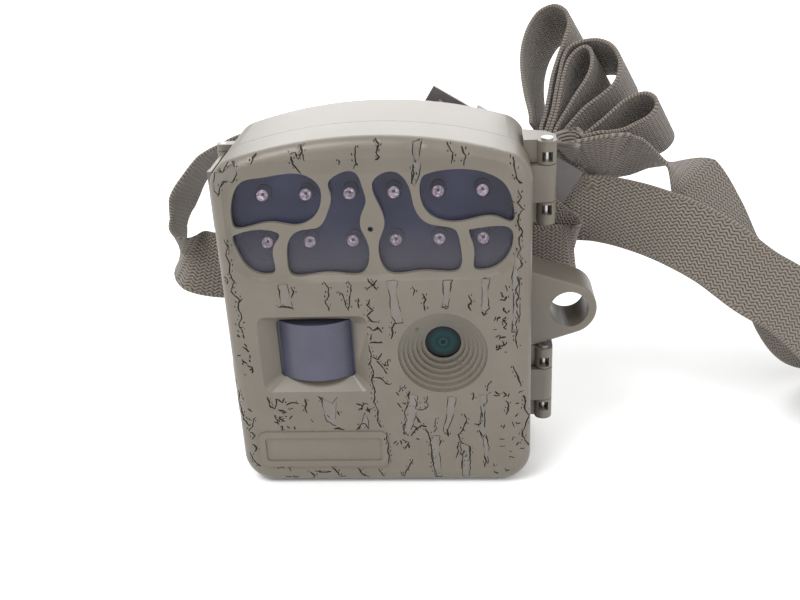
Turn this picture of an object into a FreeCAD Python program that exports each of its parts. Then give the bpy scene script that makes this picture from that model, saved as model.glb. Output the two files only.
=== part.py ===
"""Trail camera: a moulded housing whose front cover opens on a side hinge, and all that it holds.

Frame: origin in the mouth of the tripod socket, X to the right, Y to the back, Z up, millimetres.
"""
import FreeCAD, Part
import math
import os
from types import SimpleNamespace

import Sketcher
from FreeCAD import Placement, Rotation, Vector

os.makedirs("parts", exist_ok=True)
doc = FreeCAD.newDocument("TrailCamera")

# ---------------------------------------------------------------- driving sizes

SIZES = {
    # housing
    "body_width": 102.0,
    "side_height": 118.0,
    "crown_height": 127.0,
    "lower_radius": 11.0,
    "upper_radius": 10.0,
    "front_depth": 20.0,
    "rear_depth": 32.0,
    "socket_setback": 6.0,
    "edge_round": 4.5,
    "front_wall": 3.0,
    "cover_wall": 2.6,
    "rear_wall": 4.2,
    "back_wall": 3.0,
    "rim_gap": 0.2,
    # seal between the shells
    "groove_width": 1.9,
    "groove_depth": 1.6,
    "gasket_side_gap": 0.05,
    # flash window in the cover
    "window_width": 90.4,
    "window_low": 81.4,
    "window_high": 115.6,
    "window_radius": 10.0,
    "window_bevel": 1.5,
    "brow_height": 5.0,
    "sill_height": 2.2,
    "glass_margin": 2.0,
    "glass_thick": 1.6,
    "sensor_hole_across": -0.3,
    "sensor_hole_up": 96.9,
    "sensor_hole_radius": 0.9,
    # flash lamps
    "lamp_pitch": 14.2,
    "lamp_row_low": 90.2,
    "lamp_row_high": 106.6,
    "lamp_radius": 2.5,
    "lamp_length": 8.6,
    "lamp_tip_setback": 1.6,
    "lamp_hole_gap": 0.3,
    "tray_floor": 2.0,
    "tray_rim": 1.4,
    "board_thick": 1.6,
    # heat sensor window
    "heat_centre_across": -21.8,
    "heat_centre_up": 52.6,
    "heat_mouth_width": 37.0,
    "heat_mouth_height": 28.8,
    "heat_throat_width": 26.0,
    "heat_throat_height": 22.0,
    "heat_throat_depth": 5.0,
    "heat_wall": 1.2,
    "heat_lens_radius": 17.5,
    "heat_lens_skin": 0.8,
    "heat_lens_proud": 4.2,
    "heat_lens_gap": 0.8,
    "heat_flange": 2.0,
    "heat_can_radius": 4.6,
    "heat_can_height": 4.2,
    # picture lens
    "lens_across": 21.4,
    "lens_up": 52.5,
    "lens_mouth_radius": 15.0,
    "lens_throat_radius": 6.2,
    "lens_funnel_depth": 8.0,
    "lens_ring_count": 6,
    "lens_boss_wall": 1.8,
    "lens_boss_back": 0.8,
    "lens_glass_lap": 0.8,
    "lens_glass_thick": 1.0,
    "lens_barrel_proud": 0.5,
    "lens_barrel_radius": 5.6,
    "lens_holder_side": 15.0,
    "chip_side": 8.0,
    "chip_thick": 1.0,
    # name plate frame, left bare
    "plate_centre_across": -21.6,
    "plate_centre_up": 14.9,
    "plate_width": 46.0,
    "plate_height": 14.4,
    "plate_border": 2.4,
    "plate_proud": 0.5,
    # boards and inner panel of the cover
    "board_setback": 6.0,
    "board_side_gap": 6.0,
    "main_board_low": 12.0,
    "main_board_high": 78.0,
    "panel_thick": 1.8,
    "panel_setback": 0.6,
    "panel_side_gap": 0.3,
    "post_radius": 2.8,
    "post_across": 43.4,
    "post_low": 7.6,
    "post_high": 76.8,
    "post_top": 120.7,
    "screw_radius": 1.1,
    "screw_head_radius": 2.0,
    "screw_head_thick": 0.5,
    "screw_length": 6.0,
    "tray_screw_length": 4.0,
    "tray_screw_low": 20.0,
    "tray_screw_high": 103.0,
    "tray_standoff": 0.8,
    # screen, keys and switch on the inner panel
    "screen_width": 44.0,
    "screen_height": 27.0,
    "screen_across": -14.0,
    "screen_up": 58.0,
    "screen_gap": 0.3,
    "key_across": 28.0,
    "key_up": 58.0,
    "key_pitch": 9.0,
    "key_radius": 2.8,
    "key_flange": 0.9,
    "key_flange_thick": 1.1,
    "key_gap": 0.3,
    "key_proud": 0.8,
    "dome_thick": 0.25,
    "switch_across": 26.0,
    "switch_up": 33.0,
    "switch_travel": 4.0,
    "switch_knob": 5.0,
    "switch_high": 3.0,
    # card and cable sockets
    "card_length": 32.0,
    "card_width": 24.0,
    "card_thick": 2.1,
    "card_left": -39.0,
    "card_low": 13.5,
    "card_gap": 0.2,
    "card_grip": 14.0,
    "card_travel": 14.5,
    "socket_wall": 0.8,
    "usb_width": 8.0,
    "usb_height": 4.2,
    "usb_wall": 0.5,
    "usb_across": 26.0,
    "usb_up": 20.0,
    # hinge
    "hinge_out": 5.4,
    "barrel_radius": 3.1,
    "pin_radius": 1.2,
    "pin_clearance": 0.05,
    "hinge_height": 28.2,
    "hinge_low": 16.0,
    "hinge_high": 91.0,
    "knuckle_height": 7.6,
    "knuckle_gap": 0.25,
    "arm_thick": 2.9,
    "leaf_length": 10.0,
    "pin_window": 3.4,
    "pin_window_inset": 0.8,
    "pin_head_radius": 1.9,
    "pin_head_height": 0.8,
    # lock ear
    "ear_out": 14.0,
    "ear_up": 58.3,
    "ear_radius": 9.5,
    "ear_bore_radius": 6.65,
    "ear_thick": 16.6,
    "ear_root_low": 43.0,
    "ear_root_high": 73.6,
    "ear_round": 1.0,
    # latches on the left side
    "latch_low": 20.0,
    "latch_high": 91.0,
    "latch_height": 25.0,
    "latch_lug": 2.4,
    "latch_end_gap": 0.2,
    "latch_pivot_out": 2.6,
    "latch_pivot_back": 12.0,
    "latch_barrel_radius": 2.2,
    "latch_reach": 24.0,
    "latch_thick": 1.2,
    "latch_side_gap": 1.5,
    "latch_lip": 0.3,
    "latch_pin_radius": 0.9,
    "catch_height": 8.0,
    # tripod socket
    "insert_radius": 4.0,
    "insert_bore": 2.6,
    "insert_height": 9.0,
    "boss_radius": 6.0,
    "boss_height": 11.5,
    # strap bars on the back
    "bar_across": 41.0,
    "bar_width": 4.0,
    "bar_thick": 3.4,
    "bar_slot": 4.6,
    "bar_low": 50.0,
    "bar_high": 82.0,
    "bar_foot": 4.0,
    "bar_foot_width": 11.0,
    # batteries
    "cell_radius": 7.25,
    "cell_length": 48.5,
    "cell_nub_radius": 2.7,
    "cell_nub": 1.6,
    "cell_pitch": 15.2,
    "tray_low": 6.2,
    "tray_wall": 1.4,
    "tray_back": 1.4,
    "tray_lip": 9.0,
    "spring_length": 2.6,
    "spring_radius": 3.6,
    "contact_thick": 0.4,
    # power jack and its rubber plug
    "jack_across": -33.5,
    "jack_back": 6.0,
    "jack_radius": 4.2,
    "jack_wall": 1.2,
    "jack_height": 11.0,
    "jack_pin_radius": 1.0,
    "plug_radius": 6.0,
    "plug_cap": 1.4,
    "plug_inset": 0.2,
    "plug_gap": 0.1,
    # strap and buckle
    "strap_width": 25.0,
    "strap_thick": 1.4,
    "strap_slack": 0.6,
    "buckle_length": 64.0,
    "buckle_width": 31.0,
    "buckle_plate": 1.6,
    "buckle_wall": 2.2,
    "buckle_depth": 9.0,
    "buckle_slot": 4.0,
    "buckle_slot_across": -26.5,
    "buckle_tilt": 32.0,
    "buckle_across": 38.0,
    "buckle_behind": 36.4,
    "buckle_up": 97.5,
    "cam_radius": 4.4,
    "cam_lever": 30.0,
    "cam_pin_radius": 1.5,
    "cam_side_gap": 0.4,
    "cam_gap": 0.5,
}

sheet = doc.addObject("Spreadsheet::Sheet", "Sizes")
for row, (alias, value) in enumerate(SIZES.items(), start=1):
    sheet.set(f"A{row}", str(value))
    sheet.setAlias(f"A{row}", alias)
doc.recompute()


def formula_of(term):
    """The spreadsheet formula of a length, or a plain number as text."""
    return term.formula if isinstance(term, Length) else str(float(term))


class Length:
    """A number of millimetres that also knows the spreadsheet formula it comes from."""

    def __init__(self, number, formula):
        self.number = number
        self.formula = formula

    def __float__(self):
        return float(self.number)

    def __neg__(self):
        return Length(-self.number, f"(0 - {self.formula})")

    def __add__(self, other):
        return Length(self.number + float(other), f"({self.formula} + {formula_of(other)})")

    __radd__ = __add__

    def __sub__(self, other):
        return Length(self.number - float(other), f"({self.formula} - {formula_of(other)})")

    def __rsub__(self, other):
        return Length(float(other) - self.number, f"({formula_of(other)} - {self.formula})")

    def __mul__(self, other):
        return Length(self.number * float(other), f"({self.formula} * {formula_of(other)})")

    __rmul__ = __mul__

    def __truediv__(self, other):
        return Length(self.number / float(other), f"({self.formula} / {formula_of(other)})")


mm = SimpleNamespace(**{alias: Length(sheet.get(alias), "Sizes." + alias) for alias in SIZES})

# ---------------------------------------------------------------- helpers

PIECES = {}
UP = Rotation()
BACK = Rotation(Vector(1, 0, 0), -90)
RIGHT = Rotation(Vector(0, 1, 0), 90)
DOWN = Rotation(Vector(1, 0, 0), 180)


def piece(label, thing):
    """Name a finished sub-part and put it on the list of what is written."""
    thing.Label = label
    PIECES[label] = thing
    return thing


def bind(thing, path, length):
    """Tie one property of an object to the spreadsheet."""
    thing.setExpression(path, formula_of(length))


def place(thing, at, turn=UP):
    """Put an object at a point whose coordinates are lengths."""
    thing.Placement = Placement(Vector(*[float(c) for c in at]), turn)
    for axis, coordinate in zip("xyz", at):
        bind(thing, f"Placement.Base.{axis}", coordinate)


def block(name, across, back, up):
    """Box given by its low and high face along X, Y and Z."""
    thing = doc.addObject("Part::Box", name)
    for side, (low, high) in zip(("Length", "Width", "Height"), (across, back, up)):
        bind(thing, side, high - low)
    place(thing, (across[0], back[0], up[0]))
    return thing


def rod(name, radius, length, at, turn=UP):
    """Cylinder that starts at a point and runs up, unless turned."""
    thing = doc.addObject("Part::Cylinder", name)
    bind(thing, "Radius", radius)
    bind(thing, "Height", length)
    place(thing, at, turn)
    return thing


def cone(name, low_radius, high_radius, length, at, turn=UP):
    """Truncated cone that starts at a point and runs up, unless turned."""
    thing = doc.addObject("Part::Cone", name)
    bind(thing, "Radius1", low_radius)
    bind(thing, "Radius2", high_radius)
    bind(thing, "Height", length)
    place(thing, at, turn)
    return thing


def fuse(name, *shapes):
    """Join several shapes into one."""
    thing = doc.addObject("Part::MultiFuse", name)
    thing.Shapes = list(shapes)
    return thing


def cut(name, base, *tools):
    """Take one or more shapes out of another."""
    thing = doc.addObject("Part::Cut", name)
    thing.Base = base
    thing.Tool = tools[0] if len(tools) == 1 else fuse(name + "_tools", *tools)
    return thing


def group(name, shapes):
    """Like pieces kept as separate solids under one name."""
    thing = doc.addObject("Part::Compound", name)
    thing.Links = list(shapes)
    return thing


def flat(x, y):
    """A point in the plane of a sketch."""
    return Vector(float(x), float(y), 0)


def arc(centre, radius, start, end):
    """Arc about a point, anticlockwise between two angles in degrees."""
    circle = Part.Circle(centre, Vector(0, 0, 1), radius)
    return Part.ArcOfCircle(circle, math.radians(start), math.radians(end))


def rounded_rectangle(centre, width, height, radius):
    """Outline of a rectangle with round corners."""
    x, y = float(centre[0]), float(centre[1])
    a, b, r = float(width) / 2, float(height) / 2, float(radius)
    corners = ((a, -b, -90), (a, b, 0), (-a, b, 90), (-a, -b, 180))
    curves = []
    for i, (cx, cy, start) in enumerate(corners):
        middle = flat(x + cx - math.copysign(r, cx), y + cy - math.copysign(r, cy))
        curves.append(arc(middle, r, start, start + 90))
        nx, ny, after = corners[(i + 1) % 4]
        middle_next = flat(x + nx - math.copysign(r, nx), y + ny - math.copysign(r, ny))
        leave = math.radians(start + 90)
        step = flat(r * math.cos(leave), r * math.sin(leave))
        curves.append(Part.LineSegment(middle + step, middle_next + step))
    return curves


def polygon(points):
    """Closed outline of straight sides."""
    ends = points[1:] + points[:1]
    return [Part.LineSegment(flat(*a), flat(*b)) for a, b in zip(points, ends)]


def smooth_loop(points):
    """Closed flowing outline through a few points."""
    curve = Part.BSplineCurve()
    curve.interpolate([flat(*p) for p in points], PeriodicFlag=True)
    return [curve]


def sketch_on(body, name, plane, offset, rise=0):
    """Sketch parallel to one of the body's own planes, moved along its normal."""
    sketch = body.newObject("Sketcher::SketchObject", name)
    support = next(f for f in body.Origin.OriginFeatures if f.Role == plane)
    sketch.AttachmentSupport = [(support, "")]
    sketch.MapMode = "FlatFace"
    bind(sketch, "AttachmentOffset.Base.z", offset)
    bind(sketch, "AttachmentOffset.Base.y", rise)
    return sketch


def draw(sketch, curves):
    """Add one closed outline, each curve joined to the next."""
    first = sketch.GeometryCount
    for curve in curves:
        sketch.addGeometry(curve, False)
    count = len(curves)
    if count > 1:
        for i in range(count):
            ends = (first + i, 2, first + (i + 1) % count, 1)
            sketch.addConstraint(Sketcher.Constraint("Coincident", *ends))


def bound_position(sketch, kind, geometry, point, length):
    """Hold a point at a signed distance from the sketch's origin, tied to the spreadsheet."""
    if abs(float(length)) < 1e-9:
        axis = -2 if kind == "DistanceX" else -1
        sketch.addConstraint(Sketcher.Constraint("PointOnObject", geometry, point, axis))
        return
    if float(length) < 0:
        terms, distance = (geometry, point, -1, 1), -length
    else:
        terms, distance = (-1, 1, geometry, point), length
    index = sketch.addConstraint(Sketcher.Constraint(kind, *terms, abs(float(length))))
    bind(sketch, f"Constraints[{index}]", distance)


def draw_circle(sketch, centre, radius):
    """Circle with its centre and radius tied to the spreadsheet."""
    index = sketch.addGeometry(Part.Circle(flat(*centre), Vector(0, 0, 1), float(radius)), False)
    constraint = sketch.addConstraint(Sketcher.Constraint("Radius", index, float(radius)))
    bind(sketch, f"Constraints[{constraint}]", radius)
    for kind, coordinate in zip(("DistanceX", "DistanceY"), centre):
        bound_position(sketch, kind, index, 3, coordinate)


def draw_rectangle(sketch, across, up):
    """Rectangle with its four sides tied to the spreadsheet."""
    first = sketch.GeometryCount
    corners = [(across[0], up[0]), (across[1], up[0]), (across[1], up[1]), (across[0], up[1])]
    draw(sketch, polygon(corners))
    for i, kind in enumerate(("Horizontal", "Vertical", "Horizontal", "Vertical")):
        sketch.addConstraint(Sketcher.Constraint(kind, first + i))
    for corner, (x, y) in ((0, corners[0]), (2, corners[2])):
        bound_position(sketch, "DistanceX", first + corner, 1, x)
        bound_position(sketch, "DistanceY", first + corner, 1, y)


def feature(body, kind, name, sketch, length=None, backwards=False):
    """Add a sketch-based feature and make sure that it changes the solid."""
    before = body.Shape.Volume if body.Tip else 0.0
    thing = body.newObject("PartDesign::" + kind, name)
    thing.Profile = sketch
    if length is not None:
        thing.Reversed = backwards
        bind(thing, "Length", length)
    doc.recompute()
    if abs(body.Shape.Volume - before) < 1e-6:
        raise RuntimeError(f"{name} leaves {body.Label} as it was")
    return thing


def round_edges(body, name, radius, wanted):
    """Round the edges of a body that a test picks."""
    solid = body.Tip
    chosen = [f"Edge{i}" for i, edge in enumerate(solid.Shape.Edges, start=1) if wanted(edge)]
    thing = body.newObject("PartDesign::Fillet", name)
    thing.Base = (solid, chosen)
    bind(thing, "Radius", radius)
    doc.recompute()
    if "Invalid" in thing.State:
        raise RuntimeError(f"{name} can't be rounded")
    return thing


def lies_at(edge, axis, value):
    """Whether a whole edge lies in one plane across an axis."""
    box = edge.BoundBox
    low, high = {"y": (box.YMin, box.YMax), "z": (box.ZMin, box.ZMax)}[axis]
    return abs(low - float(value)) < 1e-4 and abs(high - float(value)) < 1e-4


# ---------------------------------------------------------------- planes that pieces share

parting = -mm.socket_setback
cover_rim = parting - mm.rim_gap
front_face = parting - mm.front_depth
front_inside = front_face + mm.front_wall
back_face = parting + mm.rear_depth
back_inside = back_face - mm.back_wall
half_width = mm.body_width / 2
hinge_across = half_width + mm.hinge_out
ear_across = half_width + mm.ear_out
window_width = mm.window_width
window_up = (mm.window_low + mm.window_high) / 2
window_height = mm.window_high - mm.window_low
glass_back = front_inside + mm.glass_thick
lamp_tip = glass_back + mm.lamp_tip_setback
lamp_base = lamp_tip + mm.lamp_length
board_back = parting - mm.board_setback + mm.board_thick
board_front = parting - mm.board_setback
panel_back = parting - mm.panel_setback
panel_front = panel_back - mm.panel_thick
heat_centre = (mm.heat_centre_across, mm.heat_centre_up)
heat_throat_face = front_face + mm.heat_throat_depth
heat_seat = heat_throat_face + mm.heat_wall
lens_centre = (mm.lens_across, mm.lens_up)
plate_centre = (mm.plate_centre_across, mm.plate_centre_up)
light_centre = (mm.sensor_hole_across, mm.sensor_hole_up)
groove_inset = (mm.rear_wall - mm.groove_width) / 2
tray_back_face = back_inside - mm.tray_standoff
tray_inner_face = tray_back_face - mm.tray_back
switch_top = board_back + 1.2
key_centres = {
    "key_ok": (mm.key_across, mm.key_up),
    "key_left": (mm.key_across - mm.key_pitch, mm.key_up),
    "key_right": (mm.key_across + mm.key_pitch, mm.key_up),
    "key_up": (mm.key_across, mm.key_up + mm.key_pitch),
    "key_down": (mm.key_across, mm.key_up - mm.key_pitch),
}
tray_screw_centres = [
    (side * mm.cell_pitch, up) for side in (-1, 1) for up in (mm.tray_screw_low, mm.tray_screw_high)
]
lamp_centres = [
    (mm.lamp_pitch * (column - 2.5), row)
    for row in (mm.lamp_row_low, mm.lamp_row_high)
    for column in range(6)
]
post_centres = [
    (side * mm.post_across, up) for side in (-1, 1) for up in (mm.post_low, mm.post_high)
] + [(0.0, mm.post_top)]


def housing_outline(inset):
    """Arched outline of the housing, drawn inside the outer wall by an inset."""
    inset = float(inset)
    half = float(half_width) - inset
    rise = float(mm.crown_height - mm.side_height)
    crown = (float(half_width) ** 2 + rise ** 2) / (2 * rise)
    crown_z = float(mm.crown_height) - crown
    crown -= inset
    lower = float(mm.lower_radius) - inset
    upper = float(mm.upper_radius) - inset
    corner_x = half - upper
    corner_z = crown_z + math.sqrt((crown - upper) ** 2 - corner_x ** 2)
    turn = math.degrees(math.atan2(corner_z - crown_z, corner_x))
    foot_z = inset + lower
    return [
        Part.LineSegment(flat(lower - half, inset), flat(half - lower, inset)),
        arc(flat(half - lower, foot_z), lower, -90, 0),
        Part.LineSegment(flat(half, foot_z), flat(half, corner_z)),
        arc(flat(corner_x, corner_z), upper, 0, turn),
        arc(flat(0, crown_z), crown, turn, 180 - turn),
        arc(flat(-corner_x, corner_z), upper, 180 - turn, 180),
        Part.LineSegment(flat(-half, corner_z), flat(-half, foot_z)),
        arc(flat(lower - half, foot_z), lower, 180, 270),
    ]


def hinge_bores(body, radius):
    """Bore both hinge groups of one shell for their pins."""
    for name, low in (("lower", mm.hinge_low), ("upper", mm.hinge_high)):
        sketch = sketch_on(body, f"{name}_pin_bore", "XY_Plane", low - 1)
        draw_circle(sketch, (hinge_across, parting), radius)
        feature(body, "Pocket", f"{name}_pin_hole", sketch, mm.hinge_height + 2, True)


# ---------------------------------------------------------------- front cover

# Openings of the flash window, left between moulded branches: each a few points (across, up).
WINDOW_OPENINGS = (
    ((-44.4, 99.4), (-43.6, 108.4), (-39.8, 113.8), (-34.0, 114.9), (-19.0, 115.0),
     (-15.6, 111.6), (-15.4, 106.6), (-18.4, 101.2), (-23.5, 98.8), (-33.5, 99.9)),
    ((-10.4, 114.9), (-3.2, 114.8), (-1.9, 110.4), (-1.2, 106.4), (-2.8, 102.2), (-3.5, 98.2),
     (-1.8, 93.4), (-1.1, 88.8), (-3.2, 82.3), (-15.4, 82.0), (-27.4, 82.3), (-28.0, 87.6),
     (-26.8, 93.8), (-23.6, 96.8), (-16.6, 98.2), (-13.6, 102.8), (-12.2, 108.8)),
    ((-44.2, 96.0), (-39.2, 97.4), (-33.4, 97.4), (-29.8, 95.8), (-32.0, 91.6), (-32.9, 82.4),
     (-37.6, 82.2), (-42.0, 85.6), (-44.0, 90.2)),
    ((3.6, 114.9), (9.8, 114.9), (12.8, 109.8), (13.9, 104.0), (17.2, 99.0), (22.4, 97.4),
     (26.6, 96.0), (28.0, 91.8), (27.6, 82.4), (16.0, 82.0), (4.4, 82.2), (2.0, 87.6),
     (2.4, 93.2), (4.2, 98.2), (2.9, 104.8)),
    ((17.8, 114.6), (35.8, 114.9), (41.8, 111.4), (44.6, 105.4), (44.4, 98.4), (40.2, 99.9),
     (34.0, 99.9), (26.4, 98.6), (19.4, 100.8), (16.2, 106.0)),
    ((31.4, 96.2), (38.0, 97.0), (44.2, 95.8), (44.6, 90.6), (41.8, 85.0), (37.0, 82.2),
     (32.9, 82.3), (32.4, 89.6)),
)


def make_front_shell():
    """Cover moulded in one piece: window web, sensor and lens funnels, plate frame, knuckles."""
    body = doc.addObject("PartDesign::Body", "front_shell")
    outline = sketch_on(body, "cover_outline", "XZ_Plane", -cover_rim)
    draw(outline, housing_outline(0))
    feature(body, "Pad", "cover_block", outline, mm.front_depth - mm.rim_gap)
    round_edges(body, "cover_rounding", mm.edge_round, lambda edge: lies_at(edge, "y", front_face))
    hollow = sketch_on(body, "cover_hollow", "XZ_Plane", -cover_rim)
    draw(hollow, housing_outline(mm.cover_wall))
    feature(body, "Pocket", "cover_cavity", hollow, cover_rim - front_inside, True)

    heat_boss = sketch_on(body, "heat_boss", "XZ_Plane", -front_inside)
    draw(heat_boss, rounded_rectangle(heat_centre, mm.heat_mouth_width, mm.heat_mouth_height, 3))
    boss_depth = mm.heat_throat_depth + mm.heat_wall - mm.front_wall
    feature(body, "Pad", "heat_boss_pad", heat_boss, boss_depth, True)
    lens_boss = sketch_on(body, "lens_boss", "XZ_Plane", -front_inside)
    draw_circle(lens_boss, lens_centre, mm.lens_mouth_radius + mm.lens_boss_wall)
    lens_depth = mm.lens_funnel_depth + mm.lens_boss_back - mm.front_wall
    feature(body, "Pad", "lens_boss_pad", lens_boss, lens_depth, True)

    recess_top = mm.window_high + mm.brow_height
    recess_low = mm.window_low - mm.sill_height
    mouth = sketch_on(body, "window_mouth", "XZ_Plane", -front_face)
    mouth_centre = (0.0, (recess_top + recess_low) / 2)
    bevel_width = window_width + 2 * mm.window_bevel
    draw(mouth, rounded_rectangle(mouth_centre, bevel_width, recess_top - recess_low,
                                  mm.window_radius + mm.window_bevel))
    floor = sketch_on(body, "window_floor", "XZ_Plane", -(front_face + mm.window_bevel))
    draw(floor, rounded_rectangle((0.0, window_up), window_width, window_height,
                                  mm.window_radius))
    feature_loft(body, "window_recess", mouth, floor)
    openings = sketch_on(body, "window_openings", "XZ_Plane", -(front_face - 1))
    for points in WINDOW_OPENINGS:
        draw(openings, smooth_loop(points))
    feature(body, "Pocket", "window_cut", openings, mm.front_wall + 2)
    eye = sketch_on(body, "light_hole", "XZ_Plane", -(front_face - 1))
    draw_circle(eye, light_centre, mm.sensor_hole_radius)
    feature(body, "Pocket", "light_hole_cut", eye, mm.front_wall + 2)

    heat_mouth = sketch_on(body, "heat_mouth", "XZ_Plane", -front_face)
    draw(heat_mouth, rounded_rectangle(heat_centre, mm.heat_mouth_width,
                                       mm.heat_mouth_height, 3))
    heat_throat = sketch_on(body, "heat_throat", "XZ_Plane", -heat_throat_face)
    draw(heat_throat, rounded_rectangle(heat_centre, mm.heat_throat_width,
                                        mm.heat_throat_height, 1.5))
    feature_loft(body, "heat_funnel", heat_mouth, heat_throat)
    throat = sketch_on(body, "heat_opening", "XZ_Plane", -heat_throat_face)
    draw(throat, rounded_rectangle(heat_centre, mm.heat_throat_width,
                                   mm.heat_throat_height, 1.5))
    feature(body, "Pocket", "heat_opening_cut", throat, mm.heat_wall + 1)

    rings = sketch_on(body, "lens_rings", "YZ_Plane", mm.lens_across, mm.lens_up)
    draw(rings, polygon(stepped_funnel()))
    groove = body.newObject("PartDesign::Groove", "lens_funnel")
    groove.Profile = rings
    groove.ReferenceAxis = (rings, ["H_Axis"])
    groove.Angle = 360
    before = body.Shape.Volume
    doc.recompute()
    if body.Shape.Volume > before - 1:
        raise RuntimeError("the lens funnel cuts nothing")

    frame = sketch_on(body, "plate_frame", "XZ_Plane", -front_face)
    draw(frame, rounded_rectangle(plate_centre, mm.plate_width, mm.plate_height, 3))
    draw(frame, rounded_rectangle(plate_centre, mm.plate_width - 2 * mm.plate_border,
                                  mm.plate_height - 2 * mm.plate_border, 1.2))
    feature(body, "Pad", "plate_frame_pad", frame, mm.plate_proud)

    posts = sketch_on(body, "screw_posts", "XZ_Plane", -(front_inside - 0.5))
    for centre in post_centres:
        draw_circle(posts, centre, mm.post_radius)
    feature(body, "Pad", "screw_post_pad", posts, panel_front - front_inside + 0.5, True)
    pilots = sketch_on(body, "screw_pilots", "XZ_Plane", -panel_front)
    for centre in post_centres:
        draw_circle(pilots, centre, mm.screw_radius)
    feature(body, "Pocket", "screw_pilot_cut", pilots, mm.screw_length, True)

    inner_half = half_width - mm.cover_wall / 2
    for name, low in (("lower", mm.hinge_low), ("upper", mm.hinge_high)):
        start = low + mm.knuckle_height + mm.knuckle_gap
        height = mm.hinge_height - 2 * (mm.knuckle_height + mm.knuckle_gap)
        arm = sketch_on(body, f"{name}_arm", "XY_Plane", start)
        arm_front = cover_rim - mm.arm_thick
        draw_rectangle(arm, (inner_half, hinge_across), (arm_front, cover_rim))
        feature(body, "Pad", f"{name}_arm_pad", arm, height)
        knuckle = sketch_on(body, f"{name}_knuckle", "XY_Plane", start)
        draw_circle(knuckle, (hinge_across, parting), mm.barrel_radius)
        feature(body, "Pad", f"{name}_knuckle_pad", knuckle, height)
    hinge_bores(body, mm.pin_radius + mm.pin_clearance)

    for name, low in (("lower", mm.latch_low), ("upper", mm.latch_high)):
        middle = low + mm.latch_height / 2
        ridge = sketch_on(body, f"{name}_catch", "XY_Plane", middle - mm.catch_height / 2)
        nose = mm.latch_pivot_back - mm.latch_reach
        draw_rectangle(ridge, (-(half_width + mm.latch_side_gap - 0.3), -inner_half),
                       (nose + 1, nose + 3))
        feature(body, "Pad", f"{name}_catch_pad", ridge, mm.catch_height)
    return piece("front_shell", body)


def feature_loft(body, name, near, far):
    """Cut a tapered recess between two sketches."""
    thing = body.newObject("PartDesign::SubtractiveLoft", name)
    thing.Profile = near
    thing.Sections = [far]
    thing.Ruled = True
    before = body.Shape.Volume
    doc.recompute()
    if body.Shape.Volume > before - 1:
        raise RuntimeError(f"{name} cuts nothing")
    return thing


def stepped_funnel():
    """Profile of the lens funnel: rings that step inwards as they go back."""
    count = int(float(mm.lens_ring_count))
    outer, inner = float(mm.lens_mouth_radius), float(mm.lens_throat_radius)
    depth = float(mm.lens_funnel_depth)
    face = float(front_face)
    points = [(face - 1, 0), (face - 1, outer)]
    for ring in range(count):
        radius = outer + (inner - outer) * ring / count
        next_radius = outer + (inner - outer) * (ring + 1) / count
        level = face + depth * (ring + 1) / count
        points += [(level, radius), (level, next_radius)]
    end = face + depth + float(mm.lens_boss_back) + 1
    return points + [(end, inner), (end, 0)]


# ---------------------------------------------------------------- pieces in the cover

def make_window_and_lamps():
    """Flash window, the black tray behind it, and the lamps on their board."""
    glass = doc.addObject("PartDesign::Body", "ir_window")
    outline = sketch_on(glass, "window_pane", "XZ_Plane", -glass_back)
    draw(outline, rounded_rectangle((0.0, window_up), window_width + 2 * mm.glass_margin,
                                    window_height + 2 * mm.glass_margin,
                                    mm.window_radius + mm.glass_margin))
    feature(glass, "Pad", "pane", outline, mm.glass_thick)
    piece("ir_window", glass)

    tray = doc.addObject("PartDesign::Body", "led_holder")
    rim = sketch_on(tray, "holder_rim", "XZ_Plane", -lamp_base)
    draw(rim, rounded_rectangle((0.0, window_up), window_width + mm.glass_margin,
                                window_height + mm.glass_margin, mm.window_radius))
    feature(tray, "Pad", "holder_block", rim, lamp_base - glass_back)
    well = sketch_on(tray, "holder_well", "XZ_Plane", -(lamp_base - mm.tray_floor))
    wall = 2 * mm.tray_rim
    draw(well, rounded_rectangle((0.0, window_up), window_width + mm.glass_margin - wall,
                                 window_height + mm.glass_margin - wall,
                                 mm.window_radius - mm.tray_rim))
    feature(tray, "Pocket", "holder_hollow", well, mm.lamp_length + mm.lamp_tip_setback, True)
    holes = sketch_on(tray, "lamp_holes", "XZ_Plane", -(lamp_base + 1))
    for centre in lamp_centres:
        draw_circle(holes, centre, mm.lamp_radius + mm.lamp_hole_gap)
    feature(tray, "Pocket", "lamp_hole_cut", holes, mm.tray_floor + 2, True)
    piece("led_holder", tray)

    lamps = []
    for number, (across, up) in enumerate(lamp_centres, start=1):
        stem = rod(f"lamp_stem_{number}", mm.lamp_radius, mm.lamp_length - mm.lamp_radius,
                   (across, lamp_tip + mm.lamp_radius, up), BACK)
        dome = doc.addObject("Part::Sphere", f"lamp_dome_{number}")
        bind(dome, "Radius", mm.lamp_radius)
        place(dome, (across, lamp_tip + mm.lamp_radius, up))
        lamps.append(fuse(f"lamp_{number}", stem, dome))
    piece("ir_leds", group("lamps", lamps))

    piece("led_board", block("led_board", (-(window_width / 2), window_width / 2),
                             (lamp_base, lamp_base + mm.board_thick),
                             (mm.window_low - 1, mm.window_high + 1)))


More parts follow.
